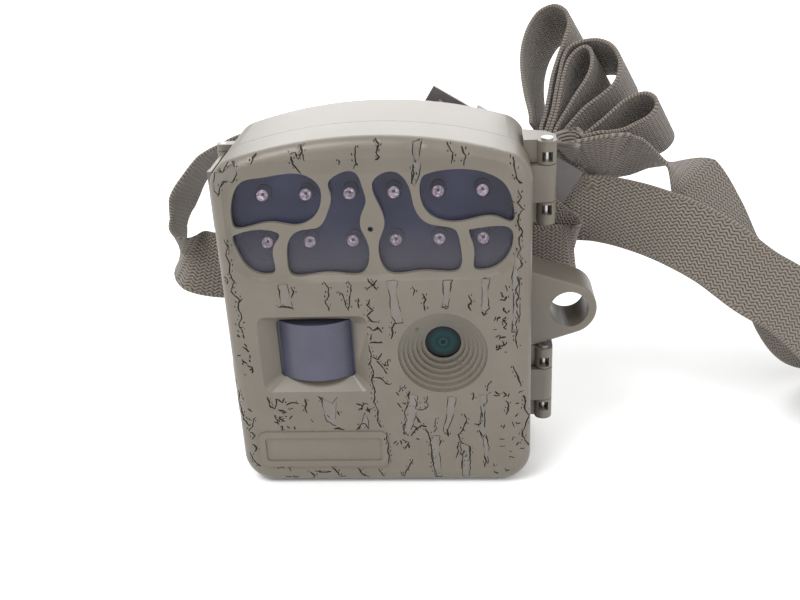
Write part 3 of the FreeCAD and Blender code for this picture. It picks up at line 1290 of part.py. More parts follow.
# Stations of the strap from its sewn end to its free tip: the middle of the band and the way
# that its width points there.
STRAP = [
    # sewn behind the buckle plate, through its slot and down to the right bar
    ((26, 38.9, 105.0), (-5, 0, -8)), ((17, 38.9, 110.6), (-5, 0, -8)),
    ((15.3, 38.5, 111.7), (-5, 0, -8)), ((14.8, 37.2, 112), (-5, 0, -8)),
    ((15.3, 35.9, 111.7), (-5, 0, -8)), ((17, 35.4, 110.5), (-5, 0, -8)),
    ((38, 35.4, 92), (-4, 0, -9)), ((52, 35.4, 78), (-4, 0, -9)),
    # round the right bar, across the back and out past the left bar
    ((61, 35.2, 70), (-2, 0, -9)), ((67, 34.0, 66.5), (-1, 0, -9)),
    ((69.5, 31.6, 65), (0, 0, -9)), ((67, 29.0, 64), (0, 0, -9)),
    ((61, 28.2, 64), (0, 0, -9)), ((44, 28.2, 64), (0, 0, -9)),
    ((-44, 28.2, 64), (0, 0, -9)), ((-56, 28.0, 62.5), (1, -1, -9)),
    ((-66, 27.0, 63.5), (2, -2, -9)), ((-74, 26.5, 66), (2, -2, -9)),
    # turned over at the left and back behind the top of the housing
    ((-78.5, 27.5, 69), (1, 1, -9)), ((-80.5, 30.5, 73.5), (0, 4, -8)),
    ((-80.5, 33.5, 79), (-1, 6, -7)), ((-79, 36.5, 85.5), (-1, 6, -8)),
    ((-75, 39.5, 92.5), (-2, 6, -7)), ((-69, 43.5, 99.5), (-2, 8, -6)),
    ((-61, 46.5, 104.5), (-3, 8, -4)), ((-45, 48.5, 107), (-3, 8, -5)),
    ((-28, 47.5, 108), (-4, 7, -6)), ((-12, 45.5, 108), (-4, 5, -8)),
    ((4, 43.5, 108.5), (-4, 1, -8)), ((18, 41.8, 107.5), (-4, 0, -8)),
    # under the cam and out to the right
    ((28, 40.3, 103.3), (-5, 0, -8)), ((33, 38.85, 100.6), (-5, 0, -8)),
    ((67, 38.9, 79.6), (-5, 0, -8)), ((79, 37.8, 79.0), (-3, -2, -9)),
    ((91, 29.0, 79), (-1, -4, -9)), ((105, 17.0, 77), (-1, -4, -9)),
    ((117, 10.0, 72), (-2, -4, -9)), ((130, 4.5, 63), (-3, -4, -9)),
    ((142, 1.5, 56), (-3, -4, -9)),
    # down to the table, round and back up
    ((157, 0.0, 42), (-3, -3, -9)), ((173, 2.0, 26), (-2, -2, -9)),
    ((188, 9.0, 15), (-1, -1, -9)), ((198, 22.0, 13), (0, 0, -9)),
    ((199, 38.0, 13), (0, 0, -9)), ((190, 50.0, 13), (0, 1, -9)),
    ((177, 52.0, 14), (1, 2, -9)), ((166, 46.0, 18), (4, 4, -8)),
    ((155, 37.0, 28), (7, 5, -5)), ((143, 31.0, 45), (8, 6, -3)),
    ((131, 28.5, 63), (8, 6, -2)), ((122, 32.0, 79), (9, 5, -1)),
    ((113, 37.5, 90.5), (9, 4, 2)),
    ((104, 48.9, 93.5), (9, 14, -6)), ((98.3, 47.1, 94.9), (6, 14, -10)),
    ((92.8, 43.9, 95.8), (4, 12, -14)), ((87.7, 42.3, 97.4), (2, 11, -15)),
    ((84, 41.1, 97.9), (2, 10, -16)), ((79.9, 41, 97.6), (3, 10, -16)),
    ((76, 41.6, 97), (4, 9, -13)), ((72.5, 42.9, 96), (4, 7, -9)),
    ((70.1, 43.4, 96.3), (4, 6, -7)),
    # four folds, gathered behind the buckle
    ((70.8, 45.2, 95.7), (4, 6, -7)), ((73.9, 46.5, 96.3), (4, 6, -7)),
    ((79.9, 47.7, 97.9), (4, 6, -7)), ((85.4, 48.1, 98.5), (4, 6, -7)),
    ((91.8, 47.9, 99.8), (4, 6, -7)),
    ((97.4, 48.4, 102.1), (4, 6, -7)), ((101.8, 48.6, 104.7), (4, 6, -7)),
    ((104.3, 50.2, 107.6), (4, 6, -7)), ((104.3, 53, 109.9), (4, 6, -7)),
    ((102, 55.9, 111.1), (4, 6, -7)), ((98.4, 57.5, 110.4), (4, 6, -7)),
    ((94, 57.8, 108.1), (4, 6, -7)), ((89.4, 56.6, 104.5), (4, 6, -7)),
    ((84.5, 55.3, 100.6), (4, 6, -7)), ((79, 54.3, 96.6), (4, 6, -7)),
    ((74.7, 54, 93.8), (4, 6, -7)), ((71.6, 54.1, 92.2), (4, 6, -7)),
    ((68.6, 54.8, 91.1), (4, 6, -7)), ((66.8, 57.2, 92.1), (4, 6, -7)),
    ((66.5, 60.1, 94.4), (4, 6, -7)), ((67.3, 62.5, 96.9), (4, 6, -7)),
    ((68.5, 64.7, 99.5), (4, 6, -7)), ((70, 68, 103.2), (4, 6, -7)),
    ((71.4, 72.5, 107.8), (4, 6, -7)), ((73.3, 78.5, 114.1), (4, 6, -7)),
    ((75.8, 82.7, 119.1), (4, 6, -7)), ((79.3, 84.2, 122.4), (4, 6, -7)),
    ((82, 83.5, 123.4), (4, 6, -7)), ((83.7, 81.1, 122.2), (4, 6, -7)),
    ((83.7, 76.3, 118.1), (4, 6, -7)), ((81.3, 72.3, 113.3), (4, 6, -7)),
    ((77.4, 69.2, 108.4), (4, 6, -7)), ((73.4, 65.6, 103), (4, 6, -7)),
    ((69.9, 62.3, 98.2), (4, 6, -7)), ((68.7, 60.3, 95.9), (4, 6, -7)),
    ((69, 58, 94.1), (4, 6, -7)), ((70.3, 57.2, 94.1), (4, 6, -7)),
    ((71.5, 58.6, 96), (4, 6, -7)), ((75.2, 60.8, 100), (4, 6, -7)),
    ((80.3, 63, 104.8), (4, 6, -7)), ((86.4, 63.9, 109.1), (4, 6, -7)),
    ((90.8, 65.2, 112.7), (4, 6, -7)), ((93.2, 68.5, 116.9), (4, 6, -7)),
    ((93.4, 73.7, 121.5), (4, 6, -7)), ((90.9, 79.2, 124.7), (4, 6, -7)),
    ((86.9, 83.1, 125.8), (4, 6, -7)), ((82.7, 85.4, 125.4), (4, 6, -7)),
    ((79, 86.6, 124.3), (4, 6, -7)), ((75.8, 86.7, 122.5), (4, 6, -7)),
    ((73.5, 84.2, 119.1), (4, 6, -7)), ((71.7, 79.4, 114), (4, 6, -7)),
    ((69.8, 73.3, 107.7), (4, 6, -7)), ((68.5, 68.8, 103), (4, 6, -7)),
    ((67, 65.5, 99.4), (4, 6, -7)), ((65.5, 62.9, 96.2), (4, 6, -7)),
    ((64.4, 62.4, 95.2), (4, 6, -7)), ((63.7, 64.3, 96.4), (4, 6, -7)),
    ((65.2, 67.7, 100.1), (4, 6, -7)), ((67.2, 73.6, 106.4), (4, 6, -7)),
    ((69.1, 80.3, 113.2), (4, 6, -7)), ((71.7, 85.8, 119.4), (4, 6, -7)),
    ((74.6, 90.9, 125.5), (4, 6, -7)), ((76.5, 95.8, 130.7), (4, 6, -7)),
    ((75.5, 100.8, 134.4), (4, 6, -7)), ((71.2, 105.4, 135.9), (4, 6, -7)),
    ((65.7, 106.5, 133.7), (4, 6, -7)), ((61.5, 103.7, 128.9), (4, 6, -7)),
    ((58.9, 99.1, 123.5), (4, 6, -7)), ((57.8, 94.1, 118.6), (4, 6, -7)),
    ((57.7, 87.9, 113.2), (4, 6, -7)), ((58.5, 79.9, 106.8), (4, 6, -7)),
    ((60, 71.6, 100.6), (4, 6, -7)), ((60.1, 68.3, 97.8), (4, 6, -7)),
]


def make_strap():
    """The strap, one flat band, square to the line of its middle at every station."""
    middles = [Vector(*middle) for middle, _ in STRAP]
    rings = []
    for i, (middle, (_, lean)) in enumerate(zip(middles, STRAP)):
        along = middles[min(i + 1, len(middles) - 1)] - middles[max(i - 1, 0)]
        across = Vector(*lean)
        across = (across - along * (across.dot(along) / along.dot(along))).normalize()
        through = along.cross(across).normalize()
        a, b = across * (float(mm.strap_width) / 2), through * (float(mm.strap_thick) / 2)
        rings.append([middle + a + b, middle - a + b, middle - a - b, middle + a - b])
    triangles = [(ring[i], ring[j], ring[k]) for ring in (rings[0], rings[-1])
                 for i, j, k in ((0, 1, 2), (0, 2, 3))]
    for near, far in zip(rings, rings[1:]):
        for i in range(4):
            j = (i + 1) % 4
            triangles += [(near[i], near[j], far[j]), (near[i], far[j], far[i])]
    faces = [Part.Face(Part.makePolygon([*corners, corners[0]])) for corners in triangles]
    shell = Part.makeShell(faces)
    shell.sewShape()
    solid = Part.makeSolid(shell)
    length = sum((b - a).Length for a, b in zip(middles, middles[1:]))
    expected = length * float(mm.strap_width) * float(mm.strap_thick)
    if solid.Volume < 0:
        solid.reverse()
    if abs(solid.Volume / expected - 1) > 0.1:
        raise RuntimeError(f"strap holds {solid.Volume:.0f}, not {expected:.0f}")
    print(f"strap: {length:.0f} mm of band")
    thing = doc.addObject("Part::Feature", "strap_band")
    thing.Shape = solid
    piece("strap", thing)


# ---------------------------------------------------------------- build, test and write

def write_pieces():
    """Test every object of the document and every piece, then write one file per piece."""
    doc.recompute()
    for thing in doc.Objects:
        if "Invalid" in thing.State or "Error" in thing.State:
            raise RuntimeError(f"{thing.Label} did not build: {thing.State}")
    for label, thing in PIECES.items():
        if thing.Shape.isNull() or not thing.Shape.isValid():
            raise RuntimeError(f"{label} is not a sound solid")
    for label, thing in PIECES.items():
        thing.Shape.exportStep(f"parts/{label}.step")
        solids = len(thing.Shape.Solids)
        print(f"{label}: {solids} solid(s), {thing.Shape.Volume / 1000:.2f} cm3")


make_front_shell()
make_window_and_lamps()
make_heat_sensor()
make_camera_module()
make_boards_and_panel()
make_keys_and_switch()
make_card_and_sockets()
make_rear_shell()
make_hinge_pins()
make_latches()
make_seal_and_inserts()
make_batteries()
make_buckle()
make_strap()
write_pieces()
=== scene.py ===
"""Trail camera with a bark-textured cover and a webbing strap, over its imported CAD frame."""
import math
import random

import bmesh
import bpy
from mathutils import Matrix, Vector
from mathutils.bvhtree import BVHTree


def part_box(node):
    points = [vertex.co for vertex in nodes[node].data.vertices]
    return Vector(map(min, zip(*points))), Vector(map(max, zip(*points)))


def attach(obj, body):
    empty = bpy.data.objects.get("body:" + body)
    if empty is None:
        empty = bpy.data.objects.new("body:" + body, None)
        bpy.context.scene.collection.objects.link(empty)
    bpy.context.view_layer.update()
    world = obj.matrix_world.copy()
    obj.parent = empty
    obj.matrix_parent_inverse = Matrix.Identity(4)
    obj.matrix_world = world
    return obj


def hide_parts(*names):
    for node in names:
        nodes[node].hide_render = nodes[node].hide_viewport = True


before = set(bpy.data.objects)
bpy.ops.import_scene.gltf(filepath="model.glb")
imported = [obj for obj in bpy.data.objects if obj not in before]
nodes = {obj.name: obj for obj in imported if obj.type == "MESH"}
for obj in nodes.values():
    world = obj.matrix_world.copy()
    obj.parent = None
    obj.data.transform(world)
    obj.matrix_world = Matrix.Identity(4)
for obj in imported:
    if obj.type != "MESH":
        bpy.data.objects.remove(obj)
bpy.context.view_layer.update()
MM = 0.001


# ---------------------------------------------------------------- rear shell
# Moulded housing of brown-grey plastic with the strap bars, hinge ear and latch lugs.
# It is the body that everything else is fixed to, and keeps its CAD shape.

def linear(*rgb):
    """Linear colour from 8-bit sRGB values."""
    return tuple((c / 255 / 12.92) if c <= 10 else ((c / 255 + 0.055) / 1.055) ** 2.4 for c in rgb)


def node(tree, kind, inputs=(), **settings):
    """Add a shader node; an input is a number or colour, or the socket that feeds it."""
    made = tree.nodes.new(kind)
    for key, value in settings.items():
        setattr(made, key, value)
    for key, value in dict(inputs).items():
        if isinstance(value, bpy.types.NodeSocket):
            tree.links.new(value, made.inputs[key])
        else:
            made.inputs[key].default_value = value
    return made


def maths(tree, operation, first, second=0.0, third=0.0):
    """Result of one arithmetic node."""
    made = node(tree, "ShaderNodeMath", {0: first, 1: second, 2: third}, operation=operation)
    return made.outputs[0]


def place_noise(tree, size, detail=2.0, stretch=(1.0, 1.0, 1.0)):
    """Noise that is fixed to the piece, with features of a given size in metres."""
    where = node(tree, "ShaderNodeTexCoord").outputs["Object"]
    scaled = node(tree, "ShaderNodeMapping", {"Vector": where, "Scale": stretch}).outputs[0]
    made = node(tree, "ShaderNodeTexNoise",
                {"Vector": scaled, "Scale": 1 / size, "Detail": detail})
    return made.outputs[0]


def ramp(tree, factor, *stops):
    """Colour ramp through (position, colour) stops."""
    made = node(tree, "ShaderNodeValToRGB", {"Fac": factor})
    band = made.color_ramp
    band.elements[0].position, band.elements[1].position = stops[0][0], stops[-1][0]
    band.elements[0].color = (*stops[0][1], 1)
    band.elements[1].color = (*stops[-1][1], 1)
    for position, colour in stops[1:-1]:
        band.elements.new(position).color = (*colour, 1)
    return made.outputs[0]


def level(tree, factor, low, high):
    """Map a 0 to 1 field onto a range of numbers."""
    return node(tree, "ShaderNodeMapRange",
                {"Value": factor, "To Min": low, "To Max": high}).outputs[0]


def surface(name, dark, light, roughness, mottle=0.006, grain=0.0004, depth=0.00003,
            metallic=0.0, stretch=(1.0, 1.0, 1.0)):
    """A solid material: mottled colour, uneven gloss and a fine relief."""
    made = bpy.data.materials.new(name)
    made.use_nodes = True
    tree = made.node_tree
    shader = tree.nodes["Principled BSDF"]
    shader.inputs["Metallic"].default_value = metallic
    broad = place_noise(tree, mottle, 3.0, stretch)
    fine = place_noise(tree, grain, 1.0, stretch)
    mixed = maths(tree, "MULTIPLY_ADD", fine, 0.3, maths(tree, "MULTIPLY", broad, 0.7))
    colour = ramp(tree, mixed, (0.32, dark), (0.68, light))
    tree.links.new(colour, shader.inputs["Base Color"])
    tree.links.new(level(tree, broad, *roughness), shader.inputs["Roughness"])
    relief = node(tree, "ShaderNodeBump", {"Height": fine, "Distance": depth, "Strength": 1.0})
    tree.links.new(relief.outputs[0], shader.inputs["Normal"])
    return made


def dress(material, *names):
    """Give CAD nodes a material in all their slots."""
    for name in names:
        for place in nodes[name].material_slots:
            place.material = material


def copy_of(name, piece_name):
    """A copy of a CAD node as one closed mesh, doubled points merged and flat faces joined."""
    piece = bpy.data.objects.new(piece_name, nodes[name].data.copy())
    bpy.context.scene.collection.objects.link(piece)
    mesh = bmesh.new()
    mesh.from_mesh(piece.data)
    bmesh.ops.remove_doubles(mesh, verts=mesh.verts, dist=2e-6)
    bmesh.ops.recalc_face_normals(mesh, faces=mesh.faces)
    bmesh.ops.dissolve_limit(mesh, angle_limit=math.radians(0.5), verts=mesh.verts,
                             edges=mesh.edges)
    mesh.to_mesh(piece.data)
    mesh.free()
    return piece


def select_only(piece):
    """Make a piece the only selected and the active one."""
    bpy.ops.object.select_all(action="DESELECT")
    piece.select_set(True)
    bpy.context.view_layer.objects.active = piece


shell = surface("shell_plastic", linear(100, 94, 84), linear(107, 101, 91), (0.34, 0.42),
                mottle=0.012)
dress(shell, "rear_shell")


# ---------------------------------------------------------------- cover with bark relief
# Moulded front cover of the same plastic. The bark marks are grooves and shallow patches that
# the mould leaves in its front face; the grooves' faces are dark with painted shade in their
# hollows.

COVER_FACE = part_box("front_shell")[0].y + 0.0005
RAY_START = -0.06      # y where the rays that find the cover's skin start, m
SKIN_DEPTH = 3 * MM    # a ray that meets something deeper has gone into an opening
PROUD = 1.2            # how far the cutters stand out of the skin, mm
PATCHES = [  # outlines of the shallow patches, across and up, mm
    [(14.4, 125.2), (17.3, 125.8), (16.4, 121), (16.6, 117.5), (14.4, 110.5), (13.4, 112.5),
     (14.2, 118)],
    [(4, 79.4), (7.6, 79.4), (7.2, 74.5), (7.8, 69.4), (8.6, 64.4), (6.4, 64), (4.6, 67.8),
     (4.7, 73.5)],
    [(22.4, 79.4), (25.2, 79.4), (24.2, 74), (23.8, 69.8), (21.6, 69.6), (22.2, 74)],
    [(34.6, 79.4), (37.2, 79.4), (36.6, 74), (37, 69), (35.2, 66.6), (34.4, 68.5), (34.8, 74)],
    [(-31.6, 79), (-28.6, 79), (-28.2, 74), (-27.6, 70.4), (-31.8, 70.8), (-31.4, 75)],
    [(-21.4, 36), (-17.2, 33.5), (-15.2, 36), (-16.4, 31), (-16.6, 24.2), (-19.8, 26.4),
     (-20.6, 31)],
    [(-6.2, 29.6), (-5, 26), (-5.4, 22.8), (-8.8, 22.8), (-7.4, 26)],
    [(22.6, 35.8), (25.4, 35.4), (24.6, 29), (23.4, 25), (21.6, 20.5), (20.6, 21.5), (21.8, 27)],
    [(33.4, 36.4), (36.2, 36.4), (35.2, 30), (35.2, 23), (36.4, 15), (36, 8), (34.8, 12),
     (34.6, 18), (33, 22.5), (34, 29)],
    [(16.2, 20.2), (19.4, 20), (19.2, 12), (19.8, 2.4), (17.4, 2.4), (16.4, 10)],
    [(26.6, 17), (29.6, 15.4), (29.8, 9), (29.6, 2.4), (27.2, 2.4), (26.8, 9)],
    [(9.6, 37.4), (12.4, 36), (12, 30.5), (10.4, 25), (8.6, 20), (7.2, 21.5), (7.8, 30)],
    [(-48.6, 119.6), (-45.4, 117.4), (-41.4, 120.6), (-40.8, 116.4), (-43.4, 113.6),
     (-45.6, 114.4), (-47.6, 110.2), (-49, 111.4), (-48.4, 115.4)],
    [(45.6, 89.6), (47.4, 86), (46.6, 79), (47, 68), (46.2, 60), (44.4, 60), (45, 70), (44.4, 80)],
]
LINES = [  # middles of the deep grooves, across and up, mm
    [(-48.9, 119.8), (-46.8, 117.8), (-45.2, 117.2), (-43.4, 120.9), (-41.8, 120), (-41, 116.2),
     (-42.8, 113.6), (-45, 114.6), (-46.6, 112.4), (-47.6, 109.6)],
    [(-36.2, 119.8), (-35.2, 121.6), (-34.4, 122.6), (-33.8, 123.4)],
    [(-23.6, 122.4), (-22, 123), (-20.8, 121.2), (-19.8, 123.4), (-20.4, 126)],
    [(-23.4, 122), (-22.6, 118.6), (-20.8, 116.2)], [(-19.2, 120.4), (-19.8, 124.6), (-18.6, 126)],
    [(-9, 120.6), (-8.2, 119.8), (-8.6, 118.9)],
    [(-3, 124.8), (-3.5, 121.8), (-3.3, 119), (-4.4, 117.2)],
    [(2.8, 126.2), (4.2, 124.8), (3.2, 122.6), (4, 121), (2.8, 120)],
    [(13.4, 112), (14.3, 114.8), (14, 118)], [(24, 126.2), (25.2, 123.6), (26.4, 121.6), (26, 118)],
    [(29.2, 123), (30.2, 120.6), (29.6, 117.4)],
    [(44, 122), (44.8, 119), (45.4, 114.8), (46, 112.4), (47.6, 111.4)],
    [(46, 109), (47.4, 106.6), (46.2, 104.8), (47.8, 103), (46.4, 100.8), (46.2, 98), (47.8, 95.6),
     (46.4, 93), (47, 89.5), (46, 87), (47.8, 84.4), (46, 82)],
    [(46.2, 80), (46.6, 77.4), (45.6, 75.4), (46.4, 73), (45.8, 71), (46.4, 69)],
    [(46, 68), (46.5, 65.4), (45.6, 63), (46.1, 60.4), (45.4, 57.6), (46.2, 54)],
    [(-47.6, 95), (-46.4, 92.6), (-47.8, 89.6), (-46.6, 86.8), (-47.2, 83.4), (-46, 80.2),
     (-47.4, 76.8), (-45, 73.6), (-45.8, 70.8), (-44.8, 67.8), (-46.2, 64.4), (-45, 61)],
    [(-49.2, 82), (-47.8, 80.4), (-48.6, 79.2)], [(-45.6, 72), (-44, 74.2)],
    [(-52, 47), (-51.2, 44), (-50.2, 41.6), (-51.4, 39), (-49.4, 37.4), (-50.4, 34), (-49.6, 30.6),
     (-49, 27), (-47.2, 24.8)],
    [(-47.8, 22.4), (-46.2, 24.6), (-45.4, 27.6), (-44.6, 28.2)],
    [(-48.4, 13.4), (-47.6, 11), (-46.4, 9), (-45, 7.4)], [(-46.6, 17), (-45.6, 15.6), (-46.4, 14)],
    [(-46.8, 22), (-45.8, 20.6), (-46.8, 19)],
    [(-27.4, 78), (-26.6, 76.4), (-27.8, 74)], [(-32.4, 70.6), (-29.8, 71), (-27, 69.8)],
    [(-16.6, 79.6), (-15, 77.4), (-15.4, 74), (-16.8, 72.8), (-15.8, 70.8), (-15.6, 69.2)],
    [(-12.2, 76), (-10.6, 75), (-9.8, 71), (-9, 69)],
    [(-9, 69.4), (-8.4, 74), (-7.6, 78), (-8.8, 79.6)],
    [(-5.4, 73.6), (-5.8, 71.8), (-5.4, 69.8)], [(-2.2, 80), (-0.6, 78.2), (0.8, 76.4)],
    [(1, 79.6), (-0.8, 78), (-2.6, 76.4)],
    [(-1.6, 73), (-2.8, 71), (-1, 69), (-3, 67), (-2, 65), (1, 64.4)],
    [(-2.8, 63), (-1.6, 61.4), (0, 62.6), (1.8, 60.8)], [(-2, 60.4), (-2.6, 57.6)],
    [(-3, 56.8), (-1, 57), (1.6, 56.8)], [(-2.4, 51.6), (-0.4, 50.6), (1.2, 53)],
    [(-1, 50.2), (0.8, 48), (2.4, 45)], [(0.6, 49), (2.8, 48.2), (3, 50.6)],
    [(-2.4, 43.6), (0, 43.4), (1.8, 41.4), (3.4, 40.8)],
    [(-3.4, 56), (-2.6, 52.6), (-3.2, 49), (-2.2, 46), (-3, 42), (-2.2, 38), (-2.8, 34),
     (-1.4, 30), (-2, 26), (-0.8, 23.4)],
    [(1.2, 21.5), (0.6, 19.4), (1.6, 17), (0.8, 14.4), (1.4, 11.6), (0.8, 8.6)],
    [(12.4, 77.4), (13.1, 75.8), (12.5, 74)],
    [(15.4, 74.6), (16.6, 72.6), (15.6, 70.8), (16.2, 68.4)],
    [(21.6, 70), (22.8, 69.2), (23.8, 69.8)], [(30.4, 74), (31.2, 71.6), (30.2, 70.4), (31, 68.4)],
    [(42.4, 77), (42.9, 75.2)], [(40.4, 72), (42, 71.8), (42.6, 73.4)],
    [(34.6, 67.6), (35.4, 66.4), (36.4, 67.4)],
    [(6.4, 64.4), (4.8, 62.6), (5.2, 60.6), (4.4, 58.4)], [(39.8, 65.6), (39.4, 64)],
    [(42.6, 66), (41.4, 64.8), (42.8, 63.4), (41.6, 61.8), (42.8, 61.2)],
    [(38.4, 61), (39.6, 61.2)], [(40.8, 58.2), (42.4, 58.4)], [(41.4, 56.4), (42, 55)],
    [(39, 53.6), (40.4, 54.2), (40.2, 55.8)], [(42, 53), (42.6, 52.6)],
    [(6, 37.6), (6.6, 39), (8.4, 40.4)], [(9.6, 38), (9, 36.4), (9.6, 34.8)],
    [(9.4, 34), (8.4, 31), (7.4, 29.4), (8.2, 26.4), (6.6, 24), (7.2, 20.4)],
    [(8.6, 17.6), (7, 14.4)], [(9.6, 10.4), (8.4, 7.4), (7.2, 5.4), (6.2, 2.4), (5.2, 5)],
    [(11, 35.4), (12.2, 33.2), (11.4, 31), (14.2, 30.6), (16, 32.4), (15.2, 34), (15.6, 36)],
    [(9.4, 20.2), (11.4, 22.8), (13.4, 24.4), (15, 23.8)], [(11.4, 28), (13, 25.4)],
    [(14.6, 23), (16, 19), (16.4, 13), (17, 7), (18, 2.4)],
    [(18.6, 27.4), (18, 25), (18.4, 23), (17.4, 21.6)], [(20, 18.4), (19.8, 16.8)],
    [(28.2, 29), (28.8, 26.4), (28.2, 24), (27.4, 22.4), (26, 20.4), (26.4, 18), (25.4, 15.4),
     (25.8, 13.4), (24.8, 11)],
    [(21.8, 21.4), (22.6, 19.8), (22, 22.8)], [(27.6, 14), (27, 10), (26.6, 6)],
    [(30, 15.6), (29.8, 12), (30, 8.4)], [(31, 37.4), (31.6, 36), (30.8, 34.4)],
    [(37.4, 41.4), (36.2, 40), (36, 37.6)], [(36.4, 37), (37.4, 37.2)],
    [(31.4, 24.6), (33, 24.4)], [(33, 22), (34.2, 20), (35.4, 19.6), (36.2, 17.4)],
    [(34.6, 11.4), (35.4, 9), (34.8, 7)], [(38, 8.4), (38.4, 7)], [(38.4, 4.6), (40, 4.2)],
    [(41.4, 37.6), (42.4, 36.2), (41.6, 35.2)], [(43.4, 37), (43.2, 35.4)],
    [(42.4, 33.8), (43.4, 32), (42.6, 28.4)], [(42, 24.4), (41.4, 22.6)],
    [(44.4, 25.4), (45.2, 23.4)], [(46, 24.8), (47.4, 25.2)], [(45, 19.4), (44.6, 17.8)],
    [(46.6, 17.4), (46, 15.6)], [(43.6, 13.8), (44.2, 13.2)], [(44, 11), (45.4, 10.6)],
    [(42, 5), (43.8, 5.6)],
    [(48.2, 36), (49.2, 33), (48.6, 30.6), (50.4, 27), (49, 23.6), (47.8, 20.6), (49, 17.6),
     (50.4, 14.4)],
    [(44.8, 47.4), (45.6, 45), (46.8, 42.4), (47.6, 39.4)],
    [(-39.6, 36.6), (-39, 32.6), (-37.4, 31.6), (-36.4, 35.4), (-34.6, 34), (-33.6, 35.8)],
    [(-33.4, 33), (-31.4, 34), (-29, 33.6)], [(-31, 31.8), (-32.6, 31)],
    [(-26.8, 35.6), (-26.4, 33.4), (-27, 31.4), (-26.2, 29.8)],
    [(-25, 26.8), (-24.4, 26)], [(-25.4, 22.8), (-24.8, 22.4)],
    [(-22, 36.4), (-20.6, 35), (-20.4, 33.4)], [(-19.4, 28.8), (-18.8, 27.8)],
    [(-15, 28.6), (-15.6, 30.6)], [(-17.6, 23.2), (-16, 23.6), (-14, 22.6)],
    [(-8.6, 30.8), (-7, 31.4), (-6.4, 33.4), (-4.8, 33)], [(-6, 31), (-4.8, 30.2)],
    [(-9.4, 22.6), (-8, 25), (-6.4, 25.2), (-5.2, 23)],
    [(-39, 6.6), (-37.4, 7.4), (-36.4, 6.6)], [(-35, 7.6), (-34.4, 5.4)],
    [(-36.6, 3), (-34, 2.6), (-31.6, 2.8)], [(-27.6, 5.4), (-26, 3.6), (-26.4, 2.4)],
    [(-25.6, 5.6), (-23, 5), (-19.8, 5.2)], [(-19.6, 7.4), (-17.8, 5.4), (-16.6, 3), (-14.8, 2.6)],
    [(-10, 6.4), (-8.6, 3.8), (-6.2, 2.8)], [(-3, 6.6), (-1.6, 4), (-0.6, 2.6)],
]
CLUSTERS = [  # corners of areas full of short broken marks, mm, and how many each has
    ((-47.4, 56), (-43.2, 66.5), 6), ((-47.4, 45), (-43, 56.4), 12),
    ((-38.6, 22.4), (-30.4, 31), 20),
    ((-7.6, 29.4), (-4.4, 33.4), 4), ((38.6, 52.6), (43, 68), 9), ((40, 12), (47, 38), 8),
    ((5, 10), (13, 40), 8), ((41.6, 66), (43.2, 77), 5), ((3, 15.6), (6.6, 19), 4),
    ((33.4, 24), (36, 34), 4), ((-49.6, 27), (-46.4, 40), 4), ((26, 8), (29, 20), 4),
]
GROOVE_WIDTH = 0.72
GROOVE_DEPTH = 0.5
PATCH_DEPTH = 0.22


def wander(points, chance, step=0.9, sway=0.2):
    """Walk along a line of points in short steps, swaying a little to each side."""
    walked = []
    for start, end in zip(points, points[1:]):
        a, b = Vector(start), Vector(end)
        count = max(1, round((b - a).length / step))
        walked += [a.lerp(b, i / count) for i in range(count)]
    walked.append(Vector(points[-1]))
    return [p + Vector((chance.uniform(-sway, sway), chance.uniform(-sway, sway))) for p in walked]


def skin(spot, out):
    """The point that lies a little above or below the cover's front at a place in mm."""
    hit = skin_of_cover.ray_cast(Vector((spot.x * MM, RAY_START, spot.y * MM)),
                                 Vector((0, 1, 0)))[0]
    face = hit.y if hit and hit.y < COVER_FACE + SKIN_DEPTH else COVER_FACE
    return spot.x * MM, face + out * MM, spot.y * MM


def add_groove(mesh, line, width, depth):
    """Add a closed wedge of uneven width along a line of the front, ready to be cut away."""
    rings = []
    for i, here in enumerate(line):
        along = (line[min(i + 1, len(line) - 1)] - line[max(i - 1, 0)]).normalized()
        side = Vector((-along.y, along.x)) * width * (
            0.3 if i in (0, len(line) - 1) else chance.uniform(0.3, 0.75))
        ring = []
        for offset, out in ((side, -PROUD), (-side, -PROUD), (-side * 0.4, depth),
                            (side * 0.4, depth)):
            ring.append(mesh.verts.new(skin(here + offset, out)))
        rings.append(ring)
    for near, far in zip(rings, rings[1:]):
        for i in range(4):
            j = (i + 1) % 4
            mesh.faces.new((near[i], far[i], far[j], near[j]))
    mesh.faces.new(rings[0])
    mesh.faces.new(rings[-1][::-1])


def add_patch(mesh, outline, depth):
    """Add a closed block under an outline of the front face, ready to be cut away."""
    top = [mesh.verts.new(skin(p, -PROUD)) for p in outline]
    floor = [mesh.verts.new(skin(p, depth)) for p in outline]
    count = len(outline)
    for i in range(count):
        j = (i + 1) % count
        mesh.faces.new((top[i], floor[i], floor[j], top[j]))
    mesh.faces.new(top)
    mesh.faces.new(floor[::-1])


def cut_away(piece, mesh, material):
    """Subtract a mesh from a piece; the new faces take the given material."""
    bmesh.ops.recalc_face_normals(mesh, faces=mesh.faces)
    data = bpy.data.meshes.new("cutter")
    mesh.to_mesh(data)
    mesh.free()
    data.materials.append(material)
    tool = bpy.data.objects.new("cutter", data)
    bpy.context.scene.collection.objects.link(tool)
    cut = piece.modifiers.new("bark", "BOOLEAN")
    cut.object, cut.operation, cut.solver = tool, "DIFFERENCE", "EXACT"
    cut.use_self, cut.material_mode = True, "TRANSFER"
    select_only(piece)
    bpy.ops.object.modifier_apply(modifier=cut.name)
    bpy.data.objects.remove(tool)
